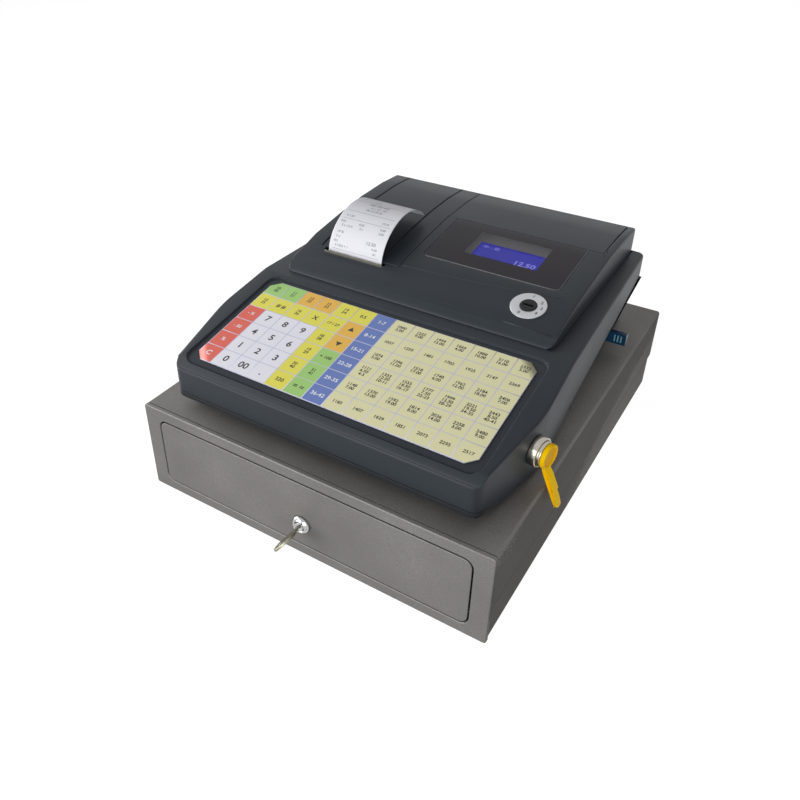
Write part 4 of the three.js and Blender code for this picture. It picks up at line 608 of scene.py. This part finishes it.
# How far each edge is drawn back, below the ledge and above it.
LEFT_DRAW = (3.5, 1.5)
BACK_DRAW = (7.2, 4.5)


def outside(co, limits):
    """Says whether a point lies outside, behind and above three limits."""
    side, front, low = limits
    return abs(co.x) > side and co.y > front and co.z > low


def on_case_rim(co):
    """The rim of the deck, at its sides."""
    return outside(co, CASE_RIM)


def on_block_rim(co):
    """The rim of the block behind the keyboard, at its sides."""
    return outside(co, BLOCK_RIM)


def on_flap_web(co):
    """The thin web between the printer flap and the rear panel."""
    return WEB_SIDES[0] < co.x < WEB_SIDES[1] and co.y > WEB_FRONT


def widen_display_opening(bm):
    """Draws back the two edges of the opening under the window that would hide the display."""
    for vertex in bm.verts:
        x, y, z = vertex.co
        if not (OPENING_LEFT < x < OPENING_RIGHT and OPENING_FRONT < y < OPENING_BACK
                and OPENING_LOW < z < OPENING_HIGH):
            continue
        above = int(z >= LEDGE_HEIGHT + LEDGE_SLOPE * (y - LEDGE_FRONT))
        if x < LEFT_EDGE:
            vertex.co.x -= LEFT_DRAW[above]
        if y > BACK_EDGE:
            vertex.co.y += BACK_DRAW[above]


# Fine ridges of the block, as places on it seen from above: round the window and at the front.
RIDGES = [
    [(-28.5, 201.6), (-21.7, 202), (8, 203.2), (37.5, 205.4), (80, 209.3), (116.7, 213.9)],
    [(84, 172.9), (105, 172.6), (126.5, 172.1)],
]
RIDGE_HALF = 0.45
RIDGE_TOP = 0.25
RIDGE_SIDE = 0.04
RIDGE_WALL = 0.3
OVERHEAD = 300


def block_ridges():
    """The block's ridges: fine raised lines that follow its surface and catch the light."""
    solid = merged("top_housing")
    surface = BVHTree.FromBMesh(solid)
    solid.free()
    bm = bmesh.new()
    for path in RIDGES:
        last = len(path) - 1
        grid = bmesh.ops.create_grid(bm, x_segments=last, y_segments=2, size=1)
        for vertex in grid["verts"]:
            step, side = round((vertex.co.x + 1) / 2 * last), vertex.co.y
            ahead = Vector(path[min(step + 1, last)]) - Vector(path[max(step - 1, 0)])
            across = Vector((-ahead.y, ahead.x)).normalized()
            x, y = Vector(path[step]) + across * side * RIDGE_HALF
            ground = surface.ray_cast(Vector((x, y, OVERHEAD)), Vector((0, 0, -1)))[0].z
            vertex.co = (x, y, ground + (RIDGE_SIDE if side else RIDGE_TOP))
    thicken(place_piece("block_ridges", bm, [ABS], "top_housing", replaced=False),
            RIDGE_WALL)


dress("lower_case", DARK_ABS, "black_abs", edge=0.5)
dress("upper_case", ABS, "abs", edge=0.9, segments=3, rim=(CASE_ROUND, on_case_rim))
dress("top_housing", ABS, "abs", edge=0.7, segments=3, rim=(BLOCK_ROUND, on_block_rim),
      too_thin=on_flap_web, reshape=widen_display_opening)
dress("rear_panel", ABS, "abs", edge=0.5)
dress("printer_flap", ABS, "abs", edge=0.6, rim=(BLOCK_ROUND, on_block_rim))
block_ridges()
for corner in (1, 2, 3, 4):
    dress("drawer_foot_%d" % corner, RUBBER_AND_SEAM_SHADE, "rubber", edge=0.5)
    dress("register_foot_%d" % corner, RUBBER_AND_SEAM_SHADE, "rubber", edge=0.5)


# The keyboard

KEYBOARD = Matrix.Translation((0, 30.6, 136.4)) @ turn(9.73, "X")
SHEET_WIDTH = 260
SHEET_DEPTH = 116
SHEET_CHAMFER = 8
SHEET_DROP = -0.6
SHEET_WALL = 0.4
COLUMNS = 14
ROWS = 6
GRID_LINE = 1.1
KEY_WIDTH = SHEET_WIDTH / COLUMNS
KEY_DEPTH = SHEET_DEPTH / ROWS
# Ink of each key, from the back row to the front row and from left to right.
KEY_ROWS = [
    "ggooyyb" + "c" * 7,
    "yyyyyob" + "c" * 7,
    "rwwwyob" + "c" * 7,
    "rwwwygb" + "c" * 7,
    "rwwwygb" + "c" * 7,
    "rwwwygb" + "c" * 7,
]
WHITE_PRINTED = "rb"
# Figures on the seven left-hand columns, in the same order.
KEY_WORDS = [
    ["10\n20", "11\n21", "12\n22", "13\n23", "14\n24", "0.5", "1-7"],
    ["15\n25", "# #", "16\n26", "X", "17 / 27", "", "8-14"],
    ["- %", "7", "8", "9", "18\n28", "", "15-21"],
    ["- 50", "4", "5", "6", "19\n29", "+ 100", "22-28"],
    ["%", "1", "2", "3", "30\n40", "31\n41", "29-35"],
    ["C", "0", "00", ".", "320", "= =", "36-42"],
]
# Heights of the figures: of two lines, one figure, one line, and the ones that differ.
PAIR_HEIGHT = 4.6
DIGIT_HEIGHT = 9.5
LINE_HEIGHT = 5.4
WORD_HEIGHTS = {
    "00": 9.5, "0.5": 5, "- %": 5, "- 50": 5, "1-7": 5.6, "8-14": 5.6, "17 / 27": 4.4,
    "+ 100": 4.8, "%": 5.5, "# #": 6.5, "= =": 7, "X": 7.5, "C": 7.5,
}
CREAM_HEIGHT = 4.4
# The cream keys carry codes from a first one up, and prices from a lowest one up.
FIRST_CODE, CODE_STEP = 1000, 37
LOWEST_PRICE, PRICES = 3, 17
# How many lines the cream keys carry, in turn.
CREAM_LINES = (2, 1, 2, 3, 2, 1, 2)
PRINT_LIFT = 0.05
ARROW_COLUMN = 5
ARROW_RADIUS = 3.4


def key_place(row, column):
    """The middle of a key, just above the ink: row 0 is the back row."""
    x = (column + 0.5) * KEY_WIDTH - SHEET_WIDTH / 2
    y = SHEET_DEPTH - (row + 0.5) * KEY_DEPTH
    return KEYBOARD @ Matrix.Translation((x, y, SHEET_DROP + PRINT_LIFT))


def legend_sheet():
    """The printed sheet: one field of ink for each key inside a lavender grid."""
    bm = bmesh.new()
    bmesh.ops.create_grid(bm, x_segments=COLUMNS, y_segments=ROWS, size=0.5)
    bmesh.ops.scale(bm, vec=(SHEET_WIDTH, SHEET_DEPTH, 1), verts=bm.verts)
    bmesh.ops.translate(bm, vec=(0, SHEET_DEPTH / 2, 0), verts=bm.verts)
    inks = list(KEY_INKS)
    for face in bm.faces:
        middle = face.calc_center_median()
        column = int((middle.x + SHEET_WIDTH / 2) / KEY_WIDTH)
        row = ROWS - 1 - int(middle.y / KEY_DEPTH)
        face.material_index = 1 + inks.index(KEY_ROWS[row][column])
    grid = bmesh.ops.inset_individual(bm, faces=bm.faces[:], thickness=GRID_LINE / 2, depth=0)
    for face in grid["faces"]:
        face.material_index = 0
    corner = SHEET_WIDTH / 2 - SHEET_CHAMFER / 2
    for side in (-1, 1):
        for end in (0, 1):
            point = (side * corner, end * SHEET_DEPTH + (1 - 2 * end) * SHEET_CHAMFER / 2, 0)
            cut(bm, point, (side, 2 * end - 1, 0), clear_outer=True)
    bmesh.ops.translate(bm, vec=(0, 0, SHEET_DROP), verts=bm.verts)
    bmesh.ops.transform(bm, matrix=KEYBOARD, verts=bm.verts)
    thicken(place_piece("legend_print", bm, [GRID_INK] + list(KEY_INKS.values()),
                        "legend_sheet"), SHEET_WALL)


def cream_key_words(row, column):
    """Plain price list numbers for a cream key: one to three short lines."""
    key = row + ROWS * column
    price = "%d.%02d" % (LOWEST_PRICE + key % PRICES, 50 * (key % 2))
    lines = [str(FIRST_CODE + CODE_STEP * key), price, "%d-%d" % (key + 1, key + 2)]
    return "\n".join(lines[:CREAM_LINES[(key + column) % len(CREAM_LINES)]])


def word_height(words):
    """The height of the figures on one of the left-hand keys."""
    usual = DIGIT_HEIGHT if len(words) == 1 else LINE_HEIGHT
    return WORD_HEIGHTS.get(words, PAIR_HEIGHT if "\n" in words else usual)


def key_figures():
    """The figures on the keys, and two arrows, printed just above the ink."""
    bm = bmesh.new()
    for row in range(ROWS):
        for column in range(COLUMNS):
            own = len(KEY_WORDS[row])
            if column >= own:
                figures(bm, cream_key_words(row, column - own), CREAM_HEIGHT,
                        key_place(row, column))
            elif KEY_WORDS[row][column]:
                words = KEY_WORDS[row][column]
                figures(bm, words, word_height(words), key_place(row, column),
                        int(KEY_ROWS[row][column] in WHITE_PRINTED))
    for row, angle in ((1, 0), (2, 180)):
        bmesh.ops.create_circle(bm, cap_ends=True, segments=3, radius=ARROW_RADIUS,
                                matrix=key_place(row, ARROW_COLUMN) @ turn(angle, "Z"))
    place_piece("key_figures", bm, [BLACK_INK, WHITE_INK], "legend_sheet",
                replaced=False)


legend_sheet()
key_figures()
dress("membrane_switch", SWITCH_FILM, "film", edge=0)
dress("keyboard_plate", ZINC, "zinc", edge=0.2)


# The display

# Areas seen from above: left, right, front and back.
APERTURE = (12.5, 82.3, 243, 282)
BACK_APERTURE = (6, 86, 241, 294)
LIT_AREA = (15.5, 83, 246, 275.8)
LCD_TILT = 7
LCD_RISE = math.tan(math.radians(LCD_TILT))
LCD_PLACE = Matrix.Translation((47.4, 262.5, 178.8)) @ turn(LCD_TILT, "X")
GLASS_LIFT = 0.08
# The glass's left and back edges lie this far outside the lit area, and are drawn out further.
MASK_LEFT, MASK_BACK = 3, 5
GLASS_LEFT, GLASS_BACK = 3.5, 8.5
# Lit figures, their size and their place on the glass.
LIT_FIGURES = (("12.50", 9.5, 19, -7.5), ("01 - 25", 5.5, -19, 6.5))


def cut_out(bm, area):
    """Cuts a mesh along the four sides of an area."""
    left, right, low, high = area
    for x in (left, right):
        cut(bm, (x, 0, 0), (1, 0, 0))
    for y in (low, high):
        cut(bm, (0, y, 0), (0, 1, 0))


def inside(face, area):
    """Says whether the middle of a face lies in an area."""
    left, right, low, high = area
    middle = face.calc_center_median()
    return left < middle.x < right and low < middle.y < high


def display_window():
    """The smoked window: printed dark on its back, clear over the display."""
    bm = merged("display_window")
    cut_out(bm, APERTURE)
    cut_out(bm, BACK_APERTURE)
    for face in bm.faces:
        area = APERTURE if face.normal.z > 0 else BACK_APERTURE
        face.material_index = int(inside(face, area))
    piece = place_piece("display_window_plate", bm, [WINDOW, WINDOW_CLEAR, WINDOW_EDGE],
                        "display_window")
    # Its soft edges take the paler finish: a painted highlight.
    soften(piece, 0.6, segments=3, angle=50).material = 2


def display_glass():
    """The display's glass: blue where it is lit, with a grey mask round it."""
    bm = merged("lcd_glass")
    cut_out(bm, LIT_AREA)
    for face in bm.faces:
        face.material_index = int(not inside(face, LIT_AREA))
    for vertex in bm.verts:
        left = GLASS_LEFT * (vertex.co.x < LIT_AREA[0] - MASK_LEFT)
        back = GLASS_BACK * (vertex.co.y > LIT_AREA[3] + MASK_BACK)
        vertex.co += Vector((-left, back, GLASS_LIFT + back * LCD_RISE))
    place_piece("display_panel", bm, [LCD_GLASS, LCD_MASK], "lcd_glass")


def display_marks():
    """Lit figures on the display glass."""
    bm = bmesh.new()
    for words, size, x, y in LIT_FIGURES:
        figures(bm, words, size, LCD_PLACE @ Matrix.Translation((x, y, GLASS_LIFT)))
    place_piece("display_marks", bm, [LCD_MARKS], "lcd_glass", replaced=False)


display_window()
# The bezel glows with painted light.
dress("lcd_frame", LCD_FRAME, "lcd_frame", edge=0.3)
display_glass()
display_marks()


# The receipt printer

# The curve that the receipt follows, from the slot to its torn end.
ARCH = [Vector((0, 196.2, 170)), Vector((0, 196.2, 202)), Vector((0, 250, 222)),
        Vector((0, 276, 191.8))]
ARCH_LENGTH = 106
ARCH_STEPS = 60
PAPER_MIDDLE = -76
PAPER_WIDTH = 58
PAPER_WALL = 0.09
PAPER_PRINT_LIFT = 0.06
TEETH = 36
TOOTH_DEPTH = 0.7
# Each row of print is its distance from the slot and its figures: text, place across and size.
RECEIPT_ROWS = [
    (1.8, [("0042", -9, 3.2), ("02", 6, 3.2)]),
    (11, [("0 1425 7 1", -16, 3.3), ("#1", 20, 3.3)]),
    (15.5, [("001", -23, 3.3), ("0.00", 19, 3.3)]),
    (20.5, [("3 x", -22, 3.6), ("12.50", 14, 4.8)]),
    (25.5, [("19 %", -21, 3.6)]),
    (33, [("2 x 1.5 0", -17, 3.3), ("0.1", -1, 3.3), ("3.00", 20, 3.3)]),
    (37.5, [("010", -23, 3.3), ("4.20", -3, 3.3), ("9.50", 20, 3.3)]),
    (45, [("0 1 07", -19, 3.3), ("19.10", 19, 3.3)]),
    (57, [("00 12 34 56", 0, 3.6)]),
    (61.5, [("12 - 10 - 07", 2, 3.6)]),
    (67, [("000 000 000", 0, 4.2)]),
    (74, [("1 2 3", -6, 3.6)]),
]
RECEIPT_RULES = [7, 41.5, 52, 70.5]
RULE_LENGTH = 51
RULE_WIDTH = 0.35


def arch_point(along):
    """A point of the receipt's arch, from the slot at 0 to the torn end at 1."""
    rest = 1 - along
    return (ARCH[0] * rest ** 3 + ARCH[1] * 3 * rest ** 2 * along
            + ARCH[2] * 3 * rest * along ** 2 + ARCH[3] * along ** 3)


def arch_slope(along):
    """The direction of the arch at a point."""
    rest = 1 - along
    return ((ARCH[1] - ARCH[0]) * rest ** 2 + (ARCH[2] - ARCH[1]) * 2 * rest * along
            + (ARCH[3] - ARCH[2]) * along ** 2).normalized()


def onto_paper(co):
    """Bends a flat point: X across the paper, Y along it, Z off its face."""
    along = co.y / ARCH_LENGTH
    slope = arch_slope(along)
    outward = Vector((0, -slope.z, slope.y))
    point = arch_point(along) + outward * co.z
    return Vector((PAPER_MIDDLE + co.x, point.y, point.z))


def receipt():
    """The receipt: one strip from the slot, bent over and torn along a toothed line."""
    bm = bmesh.new()
    bmesh.ops.create_grid(bm, x_segments=2 * TEETH, y_segments=ARCH_STEPS, size=0.5)
    bmesh.ops.scale(bm, vec=(PAPER_WIDTH, ARCH_LENGTH, 1), verts=bm.verts)
    bmesh.ops.translate(bm, vec=(0, ARCH_LENGTH / 2, 0), verts=bm.verts)
    for vertex in bm.verts:
        tooth = round((vertex.co.x / PAPER_WIDTH + 0.5) * 2 * TEETH) % 2
        if tooth and vertex.co.y > ARCH_LENGTH - NEAR:
            vertex.co.y -= TOOTH_DEPTH
        vertex.co = onto_paper(vertex.co)
    thicken(place_piece("receipt_strip", bm, [PAPER], "receipt_paper", sharp=80),
            PAPER_WALL)


def receipt_print():
    """Rows of plain numbers and ruled lines on the receipt."""
    bm = bmesh.new()
    for up, row in RECEIPT_ROWS:
        for words, across, size in row:
            spot = Matrix.Translation((across, up, PAPER_PRINT_LIFT))
            figures(bm, words, size, spot, 0, onto_paper)
    for up in RECEIPT_RULES:
        rule = (Matrix.Translation((0, up, PAPER_PRINT_LIFT))
                @ Matrix.Diagonal((RULE_LENGTH, RULE_WIDTH, 1, 1)))
        line = bmesh.ops.create_grid(bm, x_segments=2, y_segments=1, size=0.5, matrix=rule)
        for vertex in line["verts"]:
            vertex.co = onto_paper(vertex.co)
    place_piece("receipt_print", bm, [PAPER_PRINT], "receipt_paper", replaced=False)


CUTTER_FRONT = 191.6
CUTTER_LAP = 0.35
# The block's slope where the cutter is screwed down: a place, its height and the rise.
SEAT_Y, SEAT_HEIGHT, SEAT_SLOPE = 175.5, 168.25, 0.2685


def tear_bar():
    """The cutter strip: bare metal only along its toothed edge, dark where it is screwed down."""
    bm = merged("tear_bar")
    cut(bm, (0, CUTTER_FRONT, 0), (0, 1, 0))
    for face in bm.faces:
        face.material_index = int(face.calc_center_median().y < CUTTER_FRONT)
    for vertex in bm.verts:
        if vertex.co.y < CUTTER_FRONT + NEAR:
            seat = SEAT_HEIGHT + SEAT_SLOPE * (vertex.co.y - SEAT_Y)
            vertex.co.z = min(vertex.co.z, seat)
        if vertex.co.y < CUTTER_FRONT - NEAR:
            vertex.co.y -= CUTTER_LAP
    soften(place_piece("cutter_strip", bm, [CUTTER, ABS], "tear_bar"), 0.1)


receipt()
receipt_print()
tear_bar()
dress("printer_chassis", BLACK_PLASTIC, "black", edge=0.3)
dress("paper_roll", PAPER, "paper", edge=0.3)
dress("platen_roller", RUBBER_AND_SEAM_SHADE, "rubber", edge=0.2)
dress("thermal_head", SILVER, "silver", edge=0.2)
dress("flap_hinge_pin", ZINC, "zinc", edge=0.15)


# The mode lock

MODE_LOCK = Matrix.Translation((96.3, 195.4, 173.5)) @ turn(15.03, "X")
DIAL_OUTLINE = [
    (7.4, 1.3), (7.4, 0.3), (15.4, 0.3), (15.4, 0.9), (15.2, 1.25), (14.7, 1.5), (8.2, 1.5),
    (7.9, 1.42), (7.4, 1.3),
]
# The number at each place of the key, and the place's angle.
MODE_PLACES = (("1", 90), ("2", 35), ("3", 0), ("4", -35), ("0", -110))
NUMBER_RADIUS = 11.4
NUMBER_LIFT = 1.55
NUMBER_SIZE = 4.4


def mode_lock():
    """The silver ring of the mode lock, with a number at each place of its key."""
    bm = bmesh.new()
    turned(bm, DIAL_OUTLINE, MODE_LOCK, steps=96)
    for words, angle in MODE_PLACES:
        x = NUMBER_RADIUS * math.cos(math.radians(angle))
        y = NUMBER_RADIUS * math.sin(math.radians(angle))
        figures(bm, words, NUMBER_SIZE, MODE_LOCK @ Matrix.Translation((x, y, NUMBER_LIFT)), 1)
    place_piece("mode_lock_dial", bm, [SILVER, BLACK_INK], "mode_lock_ring")


mode_lock()
dress("mode_lock_barrel", BLACK_PLASTIC, "black", edge=0.2)
dress("mode_lock_rotor", BLACK_PLASTIC, "black", edge=0.4, segments=3)


# The waiter lock and its key

WAITER = Matrix.Translation((152.86, 87.7, 121.5)) @ turn(-9.61, "Z") @ turn(90, "Y")
SOCKET_OUTLINE = [
    (0, -16), (9, -16), (9, 0.3), (11.8, 0.3), (12.1, 0.6), (12.1, 6), (11.9, 6.5), (11.4, 6.8),
    (10.8, 6.8), (10.5, 6.5), (10.5, 5), (6.3, 5), (6, 4.7), (6, -1), (0, -1),
]
CUP_OUTLINE = [
    (0, -0.6), (5.7, -0.6), (5.7, 5.3), (9.6, 5.3), (10, 5.6), (10, 8.9), (9.7, 9.3), (0, 9.3),
]
DISC_OUTLINE = [(0, 9.7), (9.6, 9.7), (10, 10.1), (10, 13.2), (9.7, 13.6), (8.6, 13.6),
                (8.3, 13.3)]
DISC_FACE = [(8.3, 13.3), (8.2, 12.7), (0, 12.7)]
KEY_BAR = WAITER @ Matrix.Translation((1, -8, 9.7)) @ turn(21, "Z")
BAR_WIDTH = 6.5
# The key's bar from the disc to its tip: place along it, and its inner and outer side.
BAR_SHAPE = [(0, 0.1, 2.9), (9, 0.1, 2.9), (13, 0.1, 3.9), (19, 0.7, 5.6), (38, 3.2, 8.4),
             (39.5, 3.4, 7.2), (61, 6, 9.8)]
TIP_START = 57
# Radii at the tip: of the corners seen from the side, and of the edges across.
TIP_RADII = ((False, 3), (True, 1.4))
CHANNEL_RIM = 0.8
CHANNEL_WALL = 0.3
CHANNEL_DEPTH = 1.8


def waiter_lock():
    """The socket on the wall: a thick ring with a groove and a bore for the magnet."""
    bm = bmesh.new()
    turned(bm, SOCKET_OUTLINE, WAITER)
    place_piece("waiter_lock_socket", bm, [LOCK_NICKEL], "waiter_lock", sharp=40)


def waiter_magnet():
    """The round magnet of the waiter key in its plated cup."""
    bm = bmesh.new()
    turned(bm, CUP_OUTLINE, WAITER)
    place_piece("waiter_key_cup", bm, [LOCK_NICKEL], "waiter_key_magnet", sharp=40)


def key_bar():
    """The bar of the waiter key: round at its tip, with a channel along one side."""
    bar = bmesh.new()
    last = len(BAR_SHAPE) - 1
    grid = bmesh.ops.create_grid(bar, x_segments=last, y_segments=1, size=1)
    for vertex in grid["verts"]:
        along, inner, outer = BAR_SHAPE[round((vertex.co.x + 1) / 2 * last)]
        vertex.co = (along, 0, outer if vertex.co.y > 0 else inner)
    bar.normal_update()
    bmesh.ops.solidify(bar, geom=bar.faces[:], thickness=BAR_WIDTH)
    shift = -min(v.co.y for v in bar.verts)
    bmesh.ops.translate(bar, vec=(0, shift, 0), verts=bar.verts)
    bmesh.ops.recalc_face_normals(bar, faces=bar.faces[:])
    for across, radius in TIP_RADII:
        tip = [edge for edge in bar.edges if all(v.co.x > TIP_START for v in edge.verts)
               and (abs(edge.verts[0].co.y - edge.verts[1].co.y) > NEAR) == across]
        bmesh.ops.bevel(bar, geom=tip, offset=radius, segments=6, profile=0.5, affect="EDGES",
                        material=-1, clamp_overlap=True)
    side = [face for face in bar.faces if face.normal.y < -0.99]
    bmesh.ops.inset_region(bar, faces=side, thickness=CHANNEL_RIM, depth=0)
    bmesh.ops.inset_region(bar, faces=side, thickness=CHANNEL_WALL, depth=-CHANNEL_DEPTH)
    for face in side:
        face.material_index = 1
    bmesh.ops.transform(bar, matrix=KEY_BAR, verts=bar.verts)
    return bar


def waiter_key():
    """The yellow key: a rimmed disc with a sunk amber face, and its bar."""
    bm = bmesh.new()
    turned(bm, DISC_OUTLINE, WAITER)
    turned(bm, DISC_FACE, WAITER, finish_index=1)
    bmesh.ops.remove_doubles(bm, verts=bm.verts[:], dist=AXIS_GAP)
    bar = key_bar()
    arm = bpy.data.meshes.new("arm")
    bar.to_mesh(arm)
    bar.free()
    bm.from_mesh(arm)
    bpy.data.meshes.remove(arm)
    soften(place_piece("waiter_key_body", bm, [YELLOW, YELLOW_FACE], "waiter_key"), 0.3)


waiter_lock()
waiter_magnet()
waiter_key()


# The memory stick and the inner works

STICK_GRIP = 7
STICK_CAP = 1
LABEL_INSET = 4
STRIPE_PLACES = (-3, 0, 3)
STRIPE_SHAPE = Matrix.Diagonal((1.2, 7, 1, 1))


def memory_stick():
    """The blue memory stick in its port, with a striped label on its side."""
    bm = merged("memory_stick")
    low = Vector([min(v.co[i] for v in bm.verts) for i in range(3)])
    high = Vector([max(v.co[i] for v in bm.verts) for i in range(3)])
    for vertex in bm.verts:
        if vertex.co.x > high.x - STICK_CAP:
            vertex.co.x += STICK_GRIP
    label = Vector((high.x + STICK_GRIP / 2 - LABEL_INSET, low.y - PRINT_LIFT,
                    (low.z + high.z) / 2))
    for step in STRIPE_PLACES:
        stripe = Matrix.Translation(label + Vector((step, 0, 0))) @ turn(90, "X")
        fresh = bmesh.ops.create_grid(bm, x_segments=1, y_segments=1, size=0.5,
                                      matrix=stripe @ STRIPE_SHAPE)["verts"]
        for face in {face for vertex in fresh for face in vertex.link_faces}:
            face.material_index = 1
    soften(place_piece("memory_stick_body", bm, [BLUE, BLUE_LABEL], "memory_stick"),
           0.6, segments=3)


memory_stick()
dress("mains_inlet", BLACK_PLASTIC, "black", edge=0.4)
dress("main_board", BOARD, "board", edge=0)
dress("power_transformer", IRON, "iron", edge=0.4)


# Camera, lamps and floor, in metres


def camera():
    """The photograph's own place: in front, to the right and above."""
    lens = bpy.data.cameras.new("camera")
    lens.lens = 36.14
    lens.sensor_width = 36
    lens.shift_x = 0.04725
    lens.shift_y = -0.0555
    lens.clip_end = 50
    eye = bpy.data.objects.new("camera", lens)
    eye.location = (0.28658, -0.54925, 0.5035)
    eye.rotation_euler = (math.radians(56.843), 0, math.radians(32.598))
    bpy.context.scene.collection.objects.link(eye)
    bpy.context.scene.camera = eye


LIT_POINT = Vector((0, 0, 0.1))
FLOOR_HALF = 4


def softbox(name, place, size, watts):
    """A square soft lamp that points at the middle of the register."""
    lamp = bpy.data.lights.new(name, "AREA")
    lamp.shape = "SQUARE"
    lamp.size = size
    lamp.energy = watts
    holder = bpy.data.objects.new(name, lamp)
    holder.location = place
    holder.rotation_euler = (LIT_POINT - Vector(place)).to_track_quat("-Z", "Y").to_euler()
    bpy.context.scene.collection.objects.link(holder)


def seen_white(tree):
    """1 for what the camera, a reflection or a refraction sees, and 0 for plain light."""
    path = add(tree, "ShaderNodeLightPath")
    seen = add(tree, "ShaderNodeMath", {
        0: path.outputs["Is Camera Ray"], 1: path.outputs["Is Glossy Ray"]}, operation="ADD")
    return add(tree, "ShaderNodeMath", {
        0: seen.outputs[0], 1: path.outputs["Is Transmission Ray"]},
        operation="ADD", use_clamp=True).outputs[0]


def surroundings():
    """A white room that gives only part of its light to the register."""
    world = bpy.data.worlds.new("studio")
    world.use_nodes = True
    tree = world.node_tree
    tree.nodes.clear()
    dim = add(tree, "ShaderNodeBackground", {"Color": linear("#ffffff"), "Strength": 0.14})
    bright = add(tree, "ShaderNodeBackground", {"Color": linear("#ffffff"), "Strength": 1})
    both = add(tree, "ShaderNodeMixShader", {
        0: seen_white(tree), 1: dim.outputs[0], 2: bright.outputs[0]})
    add(tree, "ShaderNodeOutputWorld", {"Surface": both.outputs[0]})
    bpy.context.scene.world = world


def floor():
    """A pale floor that keeps the register's shadow."""
    bm = bmesh.new()
    bmesh.ops.create_grid(bm, x_segments=1, y_segments=1, size=FLOOR_HALF)
    mesh = bpy.data.meshes.new("floor")
    bm.to_mesh(mesh)
    bm.free()
    made, tree, _ = finish("pale_floor")
    soft = add(tree, "ShaderNodeBsdfDiffuse", {"Color": linear("#707070")})
    glow = add(tree, "ShaderNodeEmission", {"Color": linear("#ffffff"), "Strength": 0.96})
    dark = add(tree, "ShaderNodeEmission", {"Strength": 0})
    lift = add(tree, "ShaderNodeMixShader", {
        0: seen_white(tree), 1: dark.outputs[0], 2: glow.outputs[0]})
    close(made, add(tree, "ShaderNodeAddShader", {0: soft.outputs[0], 1: lift.outputs[0]}))
    mesh.materials.append(made)
    plane = bpy.data.objects.new("floor", mesh)
    bpy.context.scene.collection.objects.link(plane)


camera()
surroundings()
softbox("left_light", (-1.9, -0.3, 0.7), size=1.4, watts=38)
softbox("front_light", (-0.9, -1.9, 0.7), size=1.5, watts=30)
softbox("key_light", (1.1, -1.9, 0.6), size=1.2, watts=20)
floor()
bpy.context.scene.view_settings.view_transform = "Standard"
